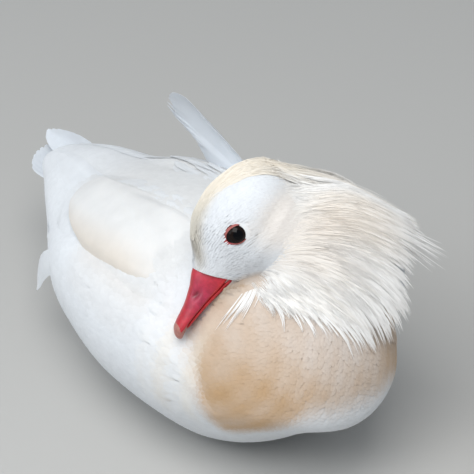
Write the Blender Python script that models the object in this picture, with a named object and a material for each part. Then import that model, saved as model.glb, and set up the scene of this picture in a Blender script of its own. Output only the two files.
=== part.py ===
"""A life-size white mandarin drake, resting on its belly with its head turned down to the right.

Metres, +X towards the breast, +Y to the bird's left, +Z up. The origin is on the flat of the belly,
which is the level that the bird rests on.
"""

import math

import bmesh
import bpy
import numpy as np
from mathutils import Matrix, Vector

MM = 0.001
GAP = 0.3 * MM

# Head: where the middle between the eyes is, and how the head is turned, tipped and rolled
HEAD_AT = np.array([39.0, -22.5, 127.0]) * MM
HEAD_YAW, HEAD_PITCH, HEAD_ROLL = -90.0, -46.0, 28.0

# A loft's stations: distance along, half width, middle height, rise above it, drop below it, in mm
TORSO_STATIONS = [
    (108, 0, 58, 0, 0),
    (103, 20, 59, 21, 14),
    (93, 32.5, 58, 36, 18),
    (78, 43.5, 56.5, 46.5, 27),
    (62, 51, 55, 53, 38.5),
    (45, 54.5, 53.5, 57, 47.5),
    (28, 57, 53, 57.5, 53.5),
    (-14, 58, 52.5, 56, 56),
    (-55, 52.5, 52.5, 45.5, 55.5),
    (-80, 45, 54, 35.5, 50),
    (-100, 37, 57, 26.5, 38),
    (-118, 28, 60, 20, 25),
    (-136, 18, 61, 12, 14),
    (-150, 10, 61, 5, 6),
    (-154, 0, 61, 0, 0),
]
HEAD_STATIONS = [
    (-35, 0, -3, 0, 0),
    (-31, 10, -3, 10, 13),
    (-20, 17, -4, 19, 21),
    (-7, 18.3, -4, 22.5, 22),
    (4, 16.4, -4, 21.5, 20),
    (13, 12.8, -4, 17, 16.5),
    (20, 10.5, -4.5, 11, 12.5),
    (26, 8.6, -5, 8, 10),
    (34, 0, -6, 0, 0),
]
NECK_STATIONS = [
    (0, 0, 0, 0, 0),
    (7, 17, 0, 17, 19),
    (24, 21, 0, 20, 24),
    (46, 24, 0, 23, 25),
    (66, 23, 0, 22, 22),
    (80, 0, 0, 0, 0),
]
UPPER_BILL_STATIONS = [
    (10, 0, -7, 0, 0),
    (14, 8.8, -9.5, 14, 3.4),
    (25, 8.2, -8.8, 11.8, 3),
    (33, 7.1, -8.2, 7.4, 2.4),
    (42, 6.2, -8, 4.2, 1.8),
    (50, 5.3, -8.2, 3, 1.5),
    (55, 0, -9, 0, 0),
]
LOWER_BILL_STATIONS = [
    (10, 0, -14, 0, 0),
    (14, 7.4, -14.6, 1.4, 3.4),
    (25, 6.6, -13, 1.2, 2.4),
    (38, 5.1, -11.4, 1, 1.6),
    (47, 4.2, -11, 0.8, 1.1),
    (50.4, 0, -10.9, 0, 0),
]
NAIL_STATIONS = [
    (46, 0, -7, 0, 0),
    (47.5, 5.2, -7.6, 2.6, 2.4),
    (51, 4.8, -8, 2.7, 3),
    (54, 2.9, -9.2, 2, 2.6),
    (55.4, 0, -10, 0, 0),
]

TAIL_CUT_X = -112 * MM
NAIL_CUT = 48.6 * MM
NECK_ROOT = np.array([-11.0, 0.0, -6.0]) * MM
BILL_PLANE_AT = np.array([22.0, 0.0, -5.0]) * MM
BILL_PLANE_NORMAL = np.array([0.936, 0.0, -0.351])

EYE_RADIUS = 6.4 * MM
EYE_AT = np.array([0.0, 12.6, 0.5]) * MM
LID_RADIUS = 5.2 * MM
LID_TUBE = 1.0 * MM

COLOURS = {
    "plumage": ((0.86, 0.87, 0.87), 0.75),
    "breast": ((0.78, 0.62, 0.47), 0.75),
    "crest": ((0.85, 0.76, 0.62), 0.7),
    "bill": ((0.62, 0.06, 0.08), 0.35),
    "nail": ((0.75, 0.55, 0.45), 0.4),
    "eye": ((0.01, 0.01, 0.012), 0.05),
    "leg": ((0.85, 0.42, 0.18), 0.5),
}


def material(name):
    """The Principled material of that name, made once."""
    found = bpy.data.materials.get(name)
    if found:
        return found
    colour, roughness = COLOURS[name]
    made = bpy.data.materials.new(name)
    made.use_nodes = True
    shader = made.node_tree.nodes["Principled BSDF"]
    shader.inputs["Base Color"].default_value = (*colour, 1)
    shader.inputs["Roughness"].default_value = roughness
    return made


def clear_scene():
    for obj in list(bpy.data.objects):
        bpy.data.objects.remove(obj)


def turned_axes(yaw, pitch, roll):
    """Forward, left and up of something turned by yaw, tipped by pitch and rolled, in degrees."""
    y, p, r = (math.radians(a) for a in (yaw, pitch, roll))
    forward = np.array([math.cos(y) * math.cos(p), math.sin(y) * math.cos(p), math.sin(p)])
    left = np.array([-math.sin(y), math.cos(y), 0.0])
    up = np.cross(forward, left)
    return np.array([
        forward,
        left * math.cos(r) + up * math.sin(r),
        up * math.cos(r) - left * math.sin(r),
    ])


HEAD_AXES = turned_axes(HEAD_YAW, HEAD_PITCH, HEAD_ROLL)
FORWARD, LEFT, UP = HEAD_AXES


def head_point(local):
    """Points given forward, left and up of the head, in the part's frame."""
    return HEAD_AT + np.asarray(local) @ HEAD_AXES


def loft(stations, origin=(0, 0, 0), axes=np.eye(3)):
    return {"table": np.array(stations) * MM, "origin": np.array(origin), "axes": np.array(axes)}


TORSO = loft(TORSO_STATIONS)
HEAD = loft(HEAD_STATIONS, HEAD_AT, HEAD_AXES)
NECK = loft(NECK_STATIONS, head_point(NECK_ROOT), np.array([-UP, LEFT, FORWARD]))


def eased(x, xs, ys):
    """A smooth curve through the points that never overshoots them."""
    order = np.argsort(xs)
    xs, ys = xs[order], ys[order]
    step = np.diff(xs)
    slope = np.diff(ys) / step
    both = slope[:-1] * slope[1:]
    total = slope[:-1] + slope[1:]
    inner = np.where(both > 0, 2 * both / np.where(both > 0, total, 1), 0)
    m = np.concatenate([slope[:1], inner, slope[-1:]])
    i = np.clip(np.searchsorted(xs, x) - 1, 0, len(step) - 1)
    t = np.clip((x - xs[i]) / step[i], 0, 1)
    blend = t * t * (3 - 2 * t)
    return (
        ys[i] * (1 - blend)
        + ys[i + 1] * blend
        + step[i] * t * (1 - t) * (m[i] * (1 - t) - m[i + 1] * t)
    )


def section(body, s):
    """Half width, middle, rise and drop of a loft at a distance along it. Squares are eased, so its ends are round."""
    t = body["table"]
    width, rise, drop = (np.sqrt(np.maximum(eased(s, t[:, 0], t[:, k] ** 2), 0)) for k in (1, 3, 4))
    return width, eased(s, t[:, 0], t[:, 2]), rise, drop


def outside(points, body):
    """How far points are outside a loft, roughly, measured in its cross sections."""
    local = (points - body["origin"]) @ body["axes"].T
    ends = body["table"][:, 0]
    s = np.clip(local[:, 0], ends.min() + 0.5 * MM, ends.max() - 0.5 * MM)
    width, middle, rise, drop = section(body, s)
    z = local[:, 2] - middle
    tall = np.maximum(np.where(z > 0, rise, drop), MM)
    wide = np.maximum(width, MM)
    spread = np.hypot(local[:, 1] / wide, z / tall)
    far = np.hypot(local[:, 1], z)
    radial = np.where(spread > 1e-6, far - far / np.maximum(spread, 1e-6), -np.minimum(wide, tall))
    return radial + np.abs(local[:, 0] - s)


def height_over(points, bodies, blend=4 * MM):
    """Distance outside the bodies, run together smoothly, and the way out."""

    def field(p):
        each = np.array([outside(p, body) for body in bodies])
        low = each.min(0)
        return low - blend * np.log(np.exp(-(each - low) / blend).sum(0))

    step = 0.5 * MM
    value = field(points)
    slope = np.stack([
        (field(points + step * axis) - field(points - step * axis)) / (2 * step) for axis in np.eye(3)
    ], axis=1)
    size = np.maximum(np.linalg.norm(slope, axis=1), 0.3)
    return value / size, slope / size[:, None]


def lifted(points, clearance, bodies, blend=4 * MM):
    """Points moved out of the bodies until they are at least the clearance outside them."""
    for _ in range(6):
        height, way = height_over(points, bodies, blend)
        points = points + way * np.maximum(clearance - height, 0)[:, None]
    return points


def curve_between(start, bend, end, steps):
    """A smooth bend from start to end, pulled towards a point."""
    t = np.linspace(0, 1, steps)[:, None]
    return start * (1 - t) ** 2 + 2 * bend * t * (1 - t) + end * t * t


def mesh_object(name, points, faces):
    """A closed mesh object with its faces pointing out."""
    mesh = bpy.data.meshes.new(name)
    mesh.from_pydata([tuple(p) for p in points], [], [tuple(f) for f in faces])
    made = bmesh.new()
    made.from_mesh(mesh)
    bmesh.ops.recalc_face_normals(made, faces=made.faces)
    made.to_mesh(mesh)
    made.free()
    obj = bpy.data.objects.new(name, mesh)
    bpy.context.scene.collection.objects.link(obj)
    return obj


def skin_rings(name, rings, start=None, end=None):
    """A closed body through rings of equally many points, capped at points or at the rings' centres."""
    rings = np.asarray(rings)
    count, around = rings.shape[:2]
    points = [*rings.reshape(-1, 3)]
    points.append(rings[0].mean(0) if start is None else start)
    points.append(rings[-1].mean(0) if end is None else end)
    first, last = count * around, count * around + 1
    faces = []
    for i in range(count - 1):
        for j in range(around):
            k = (j + 1) % around
            a, b, c, d = (i * around + j, i * around + k, (i + 1) * around + k, (i + 1) * around + j)
            faces += [(a, b, c), (a, c, d)]
    for j in range(around):
        k = (j + 1) % around
        faces.append((first, k, j))
        faces.append((last, (count - 1) * around + j, (count - 1) * around + k))
    return mesh_object(name, points, faces)


def loft_points(body, s, angle, grow=0.0):
    """Points on a loft: angle 0 is its up side, and 90 degrees its left."""
    width, middle, rise, drop = section(body, s)
    tall = np.where(np.cos(angle) > 0, rise, drop) + grow
    local = np.stack(
        [s * np.ones_like(angle), (width + grow) * np.sin(angle), middle + tall * np.cos(angle)], axis=-1
    )
    return body["origin"] + local @ body["axes"]


def loft_object(name, body, rings, around, grow=0.0, floor=None):
    """A loft as a closed mesh, its rings closer together towards the round ends."""
    ends = body["table"][:, 0]
    low, high = ends.min(), ends.max()
    steps = (1 - np.cos(np.linspace(0, math.pi, rings + 2)[1:-1])) / 2
    s = (low + (high - low) * steps)[:, None]
    angle = np.linspace(0, 2 * math.pi, around, endpoint=False)[None, :]
    points = loft_points(body, s, angle, grow)
    caps = []
    for end, way in ((low, -1), (high, 1)):
        middle = section(body, np.array([end]))[1][0]
        caps.append(body["origin"] + np.array([end + way * grow, 0, middle]) @ body["axes"])
    if floor is not None:
        points[..., 2] = np.maximum(points[..., 2], floor)
    return skin_rings(name, points, *caps)


def combine(obj, others, operation, solver="EXACT", flatten=0.6):
    """One applied Boolean of the object with all the others, which are then removed. Flat areas are merged after it."""
    group = bpy.data.collections.new("pieces")
    for other in others:
        for old in list(other.users_collection):
            old.objects.unlink(other)
        group.objects.link(other)
    bpy.context.scene.collection.children.link(group)
    modifier = obj.modifiers.new("join", "BOOLEAN")
    modifier.operation = operation
    modifier.operand_type = "COLLECTION"
    modifier.collection = group
    modifier.solver = solver
    graph = bpy.context.evaluated_depsgraph_get()
    made = bpy.data.meshes.new_from_object(obj.evaluated_get(graph))
    obj.modifiers.clear()
    obj.data = made
    for other in others:
        bpy.data.objects.remove(other)
    bpy.data.collections.remove(group)
    return keep_largest(obj, flatten)


def keep_largest(obj, flatten):
    """Only the largest closed surface of the object stays."""
    made = bmesh.new()
    made.from_mesh(obj.data)
    bmesh.ops.remove_doubles(made, verts=made.verts, dist=2e-6)
    bmesh.ops.dissolve_degenerate(made, edges=made.edges, dist=1e-6)
    same = {}
    for face in made.faces:
        same.setdefault(frozenset(v.index for v in face.verts), []).append(face)
    folded = [face for faces in same.values() if len(faces) > 1 for face in faces]
    bmesh.ops.delete(made, geom=folded, context="FACES_ONLY")
    left = set(made.faces)
    islands = []
    while left:
        queue = [left.pop()]
        island = list(queue)
        while queue:
            face = queue.pop()
            for edge in face.edges:
                for other in edge.link_faces:
                    if other in left:
                        left.remove(other)
                        queue.append(other)
                        island.append(other)
        islands.append(island)
    islands.sort(key=lambda faces: sum(f.calc_area() for f in faces))
    for island in islands[:-1]:
        bmesh.ops.delete(made, geom=island, context="FACES")
    loose = [v for v in made.verts if not v.link_faces]
    bmesh.ops.delete(made, geom=loose, context="VERTS")
    if flatten:
        bmesh.ops.dissolve_limit(made, angle_limit=math.radians(flatten), verts=made.verts, edges=made.edges)
    bmesh.ops.triangulate(made, faces=made.faces)
    made.to_mesh(obj.data)
    made.free()
    return obj


def sliced(obj, at, normal):
    """Cuts away what lies on the normal's side of a plane, and closes the cut with a flat face."""
    made = bmesh.new()
    made.from_mesh(obj.data)
    geometry = made.verts[:] + made.edges[:] + made.faces[:]
    bmesh.ops.bisect_plane(
        made, geom=geometry, plane_co=Vector(at), plane_no=Vector(normal), clear_outer=True, dist=1e-7
    )
    rim = [e for e in made.edges if e.is_boundary]
    bmesh.ops.edgeloop_fill(made, edges=rim)
    bmesh.ops.triangulate(made, faces=made.faces)
    bmesh.ops.recalc_face_normals(made, faces=made.faces)
    made.to_mesh(obj.data)
    made.free()
    return obj


def hull(obj, below=-1 * MM):
    """The convex hull of an object, with its flat underside moved down."""
    made = bmesh.new()
    points = np.array([v.co[:] for v in obj.data.vertices])
    points[points[:, 2] < 0.3 * MM, 2] = below
    for point in points:
        made.verts.new(point)
    found = bmesh.ops.convex_hull(made, input=made.verts)
    spare = {g for g in found["geom_interior"] + found["geom_unused"] if isinstance(g, bmesh.types.BMVert)}
    bmesh.ops.delete(made, geom=list(spare), context="VERTS")
    bmesh.ops.dissolve_limit(made, angle_limit=math.radians(6), verts=made.verts, edges=made.edges)
    bmesh.ops.triangulate(made, faces=made.faces)
    bmesh.ops.recalc_face_normals(made, faces=made.faces)
    made.to_mesh(obj.data)
    made.free()
    return obj


def sphere(name, at, radius, scale=(1, 1, 1), axes=np.eye(3), across=16, rows=8):
    """A round ball, or one drawn out along its own axes."""
    theta = np.linspace(0, math.pi, rows + 2)[1:-1, None]
    phi = np.linspace(0, 2 * math.pi, across, endpoint=False)[None, :]
    local = np.stack(
        [np.sin(theta) * np.cos(phi), np.sin(theta) * np.sin(phi), np.cos(theta) * np.ones_like(phi)], axis=-1
    )
    size = radius * np.array(scale)
    poles = [at + (np.array([0, 0, z]) * size) @ axes for z in (1, -1)]
    return skin_rings(name, at + (local * size) @ axes, *poles)


def tube(name, path, radii, around=10, flat=1.0, up=(0, 0, 1)):
    """A round bar along a path, with one radius for each of its points."""
    path = np.asarray(path, float)
    way = np.gradient(path, axis=0)
    way /= np.linalg.norm(way, axis=1)[:, None]
    side = np.cross(way, up)
    side /= np.linalg.norm(side, axis=1)[:, None]
    top = np.cross(side, way)
    angle = np.linspace(0, 2 * math.pi, around, endpoint=False)
    radii = np.asarray(radii)[:, None, None]
    rings = path[:, None] + radii * (
        np.cos(angle)[None, :, None] * side[:, None] + flat * np.sin(angle)[None, :, None] * top[:, None]
    )
    return skin_rings(name, rings)


def vane(name, path, widths, normals, thickness):
    """A thin flat feather along a path: four points to a ring, split alike on both faces, ending in a point."""
    path = np.asarray(path, float)
    way = np.gradient(path, axis=0)
    across = np.cross(way, normals)
    across /= np.linalg.norm(across, axis=1)[:, None]
    upward = np.cross(across, way)
    upward /= np.linalg.norm(upward, axis=1)[:, None]
    half = np.asarray(widths)[:, None] / 2
    lift = np.asarray(thickness) * np.ones(len(path))
    lift = lift[:, None] / 2
    rings = np.stack([
        path - across * half + upward * lift,
        path + across * half + upward * lift,
        path + across * half - upward * lift,
        path - across * half - upward * lift,
    ], axis=1)
    return skin_rings(name, rings[:-1], end=path[-1])


def plate(name, points, normals, thickness):
    """A curved sheet of one thickness through a grid of points, split alike on both faces."""
    rows, columns = points.shape[:2]
    half = normals * np.asarray(thickness)[..., None] / 2
    both = np.concatenate([(points + half).reshape(-1, 3), (points - half).reshape(-1, 3)])
    under = rows * columns
    faces = []
    for i in range(rows - 1):
        for j in range(columns - 1):
            a, b = i * columns + j, i * columns + j + 1
            c, d = (i + 1) * columns + j + 1, (i + 1) * columns + j
            for low in (0, under):
                faces += [(a + low, b + low, c + low), (a + low, c + low, d + low)]
    rim = [i * columns for i in range(rows)]
    rim += [(rows - 1) * columns + j for j in range(1, columns)]
    rim += [i * columns + columns - 1 for i in range(rows - 2, -1, -1)]
    rim += [j for j in range(columns - 2, 0, -1)]
    for here, there in zip(rim, rim[1:] + rim[:1]):
        faces += [(here, there, there + under), (here, there + under, here + under)]
    return mesh_object(name, both, faces)


LOCK_WIDTHS = np.array([0.75, 1, 1, 0.92, 0.76, 0.5, 0.2])


def lock(path, width, thickness, clearance, bodies):
    """One flat lock of feathers along a path, kept clear of the bodies, that narrows to a point."""
    path = lifted(path, clearance, bodies)
    _, way = height_over(path, bodies, 8 * MM)
    t = np.linspace(0, 1, len(path))
    widths = width * np.interp(t, np.linspace(0, 1, len(LOCK_WIDTHS)), LOCK_WIDTHS)
    return vane("lock", path, widths, way, thickness * (1 - 0.35 * t))


def uneven(i, amount):
    """A share around one that differs from lock to lock."""
    return 1 + amount * math.sin(2.4 * i + 0.7 * math.sin(5.1 * i))


def finish(obj, slot):
    """Gives a node its material and smooth shading with its sharp edges kept."""
    obj.data.materials.clear()
    obj.data.materials.append(material(slot))
    obj.data.shade_smooth()
    obj.data.set_sharp_from_angle(angle=math.radians(35))


TORSO_RINGS, TORSO_AROUND = 25, 30
HEAD_RINGS, HEAD_AROUND = 16, 24
NECK_RINGS, NECK_AROUND = 7, 20


def grown_torso(name="torso_cutter"):
    return loft_object(name, TORSO, TORSO_RINGS, TORSO_AROUND, GAP)


def grown_head(name="head_cutter"):
    return loft_object(name, HEAD, HEAD_RINGS, HEAD_AROUND, GAP)


def grown_neck(name="neck_cutter"):
    return loft_object(name, NECK, NECK_RINGS, NECK_AROUND, GAP)


def make_torso():
    torso = loft_object("torso", TORSO, TORSO_RINGS, TORSO_AROUND, floor=0.0)
    sliced(torso, (TAIL_CUT_X + GAP / 2, 0, 0), (-1, 0, 0))
    cutters = [grown_head(), bill_loft("upper_cutter", UPPER_BILL_STATIONS, GAP)]
    cutters.append(bill_loft("lower_cutter", LOWER_BILL_STATIONS, GAP))
    for side in (1, -1):
        cutters.append(hull(leg_shape("leg_cutter", side, GAP)))
    combine(torso, cutters, "DIFFERENCE")
    finish(torso, "plumage")


def make_neck():
    neck = loft_object("neck", NECK, NECK_RINGS, NECK_AROUND)
    combine(neck, [grown_head(), grown_torso()], "DIFFERENCE")
    finish(neck, "plumage")


def make_head():
    head = loft_object("head", HEAD, HEAD_RINGS, HEAD_AROUND)
    lids, sockets = [], []
    for side in (1, -1):
        at = head_point(EYE_AT * (1, side, 1))
        angle = np.linspace(0, 2 * math.pi, 14, endpoint=False)
        ring_at = EYE_AT * (1, side, 1) + np.array([0, side * 3.2 * MM, 0])
        ring = ring_at + LID_RADIUS * np.stack(
            [np.cos(angle), 0 * angle, 0.86 * np.sin(angle)], axis=1
        )
        lids.append(ring_tube("lid", head_point(ring), LID_TUBE, side * LEFT))
        sockets.append(sphere("socket", at, EYE_RADIUS + GAP, axes=HEAD_AXES))
    combine(head, lids, "UNION")
    combine(head, sockets, "DIFFERENCE")
    sliced(head, head_point(BILL_PLANE_AT - BILL_PLANE_NORMAL * GAP / 2), BILL_PLANE_NORMAL @ HEAD_AXES)
    finish(head, "plumage")


def ring_tube(name, ring, radius, axis, around=5):
    """A closed hoop of round section along a ring of points."""
    ahead = np.roll(ring, -1, 0) - np.roll(ring, 1, 0)
    ahead /= np.linalg.norm(ahead, axis=1)[:, None]
    out = np.cross(ahead, axis)
    out /= np.linalg.norm(out, axis=1)[:, None]
    angle = np.linspace(0, 2 * math.pi, around, endpoint=False)
    points = ring[:, None] + radius * (
        np.cos(angle)[None, :, None] * out[:, None] + np.sin(angle)[None, :, None] * np.asarray(axis)
    )
    count = len(ring)
    faces = []
    for i in range(count):
        for j in range(around):
            n, k = (i + 1) % count, (j + 1) % around
            faces.append((i * around + j, i * around + k, n * around + k, n * around + j))
    return mesh_object(name, points.reshape(-1, 3), faces)


def bill_loft(name, stations, grow=0.0):
    rings, around = (14, 20) if stations is UPPER_BILL_STATIONS else (9, 16)
    return loft_object(name, loft(stations, HEAD_AT, HEAD_AXES), rings, around, grow)


def make_bill():
    upper = bill_loft("bill_upper", UPPER_BILL_STATIONS)
    lower = bill_loft("bill_lower", LOWER_BILL_STATIONS)
    nail = bill_loft("bill_nail", NAIL_STATIONS)
    root = head_point(BILL_PLANE_AT + BILL_PLANE_NORMAL * GAP / 2)
    for piece in (upper, lower):
        sliced(piece, root, -BILL_PLANE_NORMAL @ HEAD_AXES)
    sliced(upper, head_point((NAIL_CUT - GAP / 2, 0, 0)), FORWARD)
    sliced(nail, head_point((NAIL_CUT + GAP / 2, 0, 0)), -FORWARD)
    nostrils = []
    for side in (1, -1):
        at = head_point(np.array([33.5, 4.6 * side, -3.6]) * MM)
        nostrils.append(sphere("nostril", at, 1 * MM, (2.6, 1.5, 0.8), HEAD_AXES, 10, 6))
    combine(upper, nostrils, "DIFFERENCE")
    cutters = [bill_loft("upper_cutter", UPPER_BILL_STATIONS, GAP), bill_loft("nail_cutter", NAIL_STATIONS, GAP)]
    combine(lower, cutters, "DIFFERENCE")
    finish(upper, "bill")
    finish(lower, "bill")
    finish(nail, "nail")


def make_eyes():
    for side, name in ((1, "eye_left"), (-1, "eye_right")):
        at = head_point(EYE_AT * (1, side, 1))
        finish(sphere(name, at, EYE_RADIUS, axes=HEAD_AXES), "eye")


LEG = {"apart": 15 * MM, "heel_x": -50 * MM, "toes_x": -12 * MM, "heel_z": 8 * MM, "toes_z": 4 * MM}
TOES = ((-17, 27 * MM), (0, 33 * MM), (17, 29 * MM))


def leg_shape(name, side, grow=0.0):
    """A shank folded along the belly and a webbed foot flat on the ground, as one closed body."""
    y = side * LEG["apart"]
    heel = np.array([LEG["heel_x"], y, LEG["heel_z"]])
    joint = np.array([LEG["toes_x"], y, LEG["toes_z"]])
    shank = tube(name, [heel, heel * 0.5 + joint * 0.5, joint], np.array([4.6, 3.4, 3.8]) * MM + grow)
    pieces = [sphere("heel", heel, 5.2 * MM + grow, across=10, rows=6)]
    tips = []
    for turn, length in TOES:
        a = math.radians(turn + 3 * side)
        tip = joint + length * np.array([math.cos(a), math.sin(a), 0]) - (0, 0, 1.4 * MM)
        tips.append(tip)
        middle = joint * 0.45 + tip * 0.55 - (0, 0, 0.4 * MM)
        pieces.append(tube("toe", [joint, middle, tip], np.array([3.2, 2.4, 1.5]) * MM + grow, 6))
    back = joint + np.array([-9 * MM, -side * 4 * MM, -1.5 * MM])
    pieces.append(tube("hind_toe", [joint, joint * 0.5 + back * 0.5, back], np.array([2.2, 1.7, 1.1]) * MM + grow, 6))
    for first, second in zip(tips, tips[1:]):
        inner = np.stack([joint, joint * 0.5 + first * 0.5, first * 0.93 + joint * 0.07])
        outer = np.stack([joint + (0, 0.6 * MM, 0), joint * 0.5 + second * 0.5, second * 0.93 + joint * 0.07])
        middle = inner * 0.5 + outer * 0.5
        middle[-1] = middle[-1] * 0.9 + joint * 0.1
        grid = np.stack([inner, middle, outer], axis=1)
        grid[..., 2] = 0.85 * MM
        up = np.zeros_like(grid)
        up[..., 2] = 1
        pieces.append(plate("web", grid, up, (1.7 * MM + 2 * grow) * np.ones((3, 3))))
    combine(shank, pieces, "UNION")
    return sliced(shank, (0, 0, 0 - grow * 2), (0, 0, -1))


def make_legs():
    for side, name in ((1, "leg_left"), (-1, "leg_right")):
        finish(leg_shape(name, side), "leg")


def torso_surface(x, angle, side, lift):
    """A point that far over the torso, at x and at an angle from the back's middle down one side."""
    x, angle, lift = np.broadcast_arrays(np.asarray(x, float), np.asarray(angle, float), np.asarray(lift, float))
    shape = x.shape
    points = loft_points(TORSO, x.ravel(), side * angle.ravel())
    _, way = height_over(points, [TORSO])
    return (points + way * lift.ravel()[:, None]).reshape(*shape, 3), way.reshape(*shape, 3)


def shell(name, side, x_front, x_back, upper, lower, lift, rows=13, columns=8, sink=3 * MM):
    """A closed shell over one side of the torso, between an upper and a lower margin, sunk into the torso."""
    s = np.linspace(0, 1, rows)[:, None]
    t = np.linspace(0, 1, columns)[None, :]
    x = x_front + (x_back - x_front) * s
    top = eased(s[:, 0], np.array(upper)[:, 0], np.radians(np.array(upper)[:, 1]))[:, None]
    low = eased(s[:, 0], np.array(lower)[:, 0], np.radians(np.array(lower)[:, 1]))[:, None]
    angle = top + (low - top) * t
    outer, _ = torso_surface(x, angle, side, lift(s, t))
    inner, _ = torso_surface(x, angle, side, -sink)
    return skin_rings(name, np.concatenate([outer, inner[:, ::-1]], axis=1))


WING_FRONT, WING_BACK = 34 * MM, -90 * MM
WING_UPPER = [(0, 62), (0.15, 44), (0.45, 27), (0.8, 19), (1, 26)]
WING_LOWER = [(0, 68), (0.15, 78), (0.5, 78), (0.85, 70), (1, 54)]
WING_THICK = 4 * MM


def wing_lift(s, t):
    bulge = np.sin(math.pi * np.clip(s * 0.96 + 0.02, 0, 1)) ** 0.6 * (1 - (2 * t - 1) ** 4)
    return 1.1 * MM + (WING_THICK - 1.1 * MM) * bulge


def wing_core(name, side, grow=0.0):
    turn = math.degrees(grow / (50 * MM))
    upper = [(s, angle - turn) for s, angle in WING_UPPER]
    lower = [(s, angle + turn) for s, angle in WING_LOWER]
    return shell(name, side, WING_FRONT + grow, WING_BACK - grow, upper, lower,
                 lambda s, t: wing_lift(s, t) + grow)


FLANK_FRONT, FLANK_BACK = 66 * MM, -96 * MM
FLANK_UPPER = [(0, 96), (0.12, 74), (0.35, 63), (0.7, 63), (0.9, 72), (1, 88)]
FLANK_LOWER = [(0, 102), (0.12, 118), (0.5, 136), (0.85, 124), (1, 98)]
FLANK_THICK = 7 * MM


def flank_lift(s, t):
    along = np.sin(math.pi * np.clip(s * 0.94 + 0.03, 0, 1)) ** 0.7
    edge = 1 - t
    across = np.where(t < 0.12, 0.72 + 2.3 * t, 1.0) * np.sqrt(np.clip(edge, 0, 1)) ** 0.8
    return 0.2 * MM + FLANK_THICK * along * across


def make_flanks():
    for side, name in ((1, "flank_left"), (-1, "flank_right")):
        flank = shell(name, side, FLANK_FRONT, FLANK_BACK, FLANK_UPPER, FLANK_LOWER, flank_lift, 15, 9)
        feathers = []
        for k, angle in enumerate(np.linspace(85, 117, 4)):
            t = np.linspace(0, 1, 5)
            x = (-62 - (44 - 4 * k) * t) * MM
            path, way = torso_surface(x, np.radians(angle - 8 * t), side, (3.4 - 1.2 * t) * MM)
            width = 13 * MM * np.array([0.7, 1, 1.1, 0.95, 0.3])
            feathers.append(vane("feather", path, width, way, 1 * MM))
        combine(flank, feathers, "UNION")
        cutters = [grown_torso(), wing_core("wing_cutter", side, GAP)]
        if side < 0:
            cutters.append(drooped_feather(GAP))
        combine(flank, cutters, "DIFFERENCE")
        finish(flank, "plumage")


# Each flight feather over the rump: where its tip is, and its angle from the back's middle there and at its root
PRIMARIES = [(-141, 26, 24), (-138, 30, 29), (-133, 35, 35), (-127, 41, 42), (-120, 48, 49), (-113, 56, 56)]
DROOPED = np.array([(-44, 50.5, 76), (-56, 52.5, 69), (-70, 53, 60), (-83, 51, 49), (-92, 48.5, 36), (-97, 47, 26)]) * MM


def primaries(side, grow=0.0):
    """The long flight feathers laid over the rump, and the right wing's one that hangs out at the side."""
    made = []
    t = np.linspace(0, 1, 5)
    for i, (tip, tip_angle, root_angle) in enumerate(PRIMARIES):
        x = (-58 + (tip + 58) * t) * MM
        angle = np.radians(root_angle + (tip_angle - root_angle) * t ** 1.4)
        lift = (1 + 0.45 * (len(PRIMARIES) - i) + 0.6 * t) * MM
        path, way = torso_surface(x, angle, side, lift)
        width = 10 * MM * np.minimum(1, 0.6 + t) * np.clip(1.12 - t, 0, 1) ** 0.35
        made.append(vane("primary", path, width + 2 * grow, way, 0.8 * MM + 2 * grow))
    return made


def drooped_feather(grow=0.0):
    """The right wing's one feather that hangs out over the flank."""
    path = DROOPED * (1, -1, 1)
    _, way = height_over(path, [TORSO])
    return vane("drooped", path, np.array([9, 10, 10, 9.5, 7, 2.5]) * MM + 2 * grow, way, 1.2 * MM + 2 * grow)


# Tiers of wing feathers: where they root and end, their width and lift over the wing in mm, and the angles they cover
TIERS = [
    {"root": -8, "tip": -50, "width": 14, "lift": 0, "angles": np.linspace(32, 54, 3)},
    {"root": -40, "tip": -95, "width": 14, "lift": -0.4, "angles": np.linspace(27, 50, 3)},
]


def wing_tiers(side, grow=0.0):
    """Coverts and secondaries as flat feathers that lie over each other like tiles."""
    made = []
    for tier in TIERS:
        for k, angle in enumerate(tier["angles"]):
            t = np.linspace(0, 1, 4)
            x = (tier["root"] + (tier["tip"] * uneven(k, 0.04) - tier["root"]) * t) * MM
            turn = np.radians(angle + 2 * t + 0 * x)
            over = np.clip((x + 70 * MM) / (12 * MM), 0, 1)
            lift = WING_THICK * (0.55 + 0.45 * over) + (tier["lift"] + 0.9 * t) * MM
            path, way = torso_surface(x, turn, side, lift)
            width = tier["width"] * MM * np.array([0.7, 1.1, 1, 0.3])
            made.append(vane("covert", path, width + 2 * grow, way, 0.9 * MM + 2 * grow))
    return made


def make_wings():
    for side, name in ((1, "wing_left"), (-1, "wing_right")):
        wing = wing_core(name, side)
        feathers = primaries(side) + wing_tiers(side)
        if side < 0:
            feathers.append(drooped_feather())
        combine(wing, feathers, "UNION")
        combine(wing, [grown_torso()], "DIFFERENCE")
        finish(wing, "plumage")


# The raised sail's free edge from its root to its tip and down behind: x and z in mm
SAIL_EDGE = np.array([
    (-2, 104), (-21, 119), (-41, 126), (-60, 133), (-72, 130), (-81, 118), (-74, 113), (-60, 106), (-54, 98),
]) * MM
SAIL_AT = np.array([-47.0, 25.0, 104.0]) * MM
SAIL_NORMAL = np.array([-0.03, 0.97, 0.22])


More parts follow.
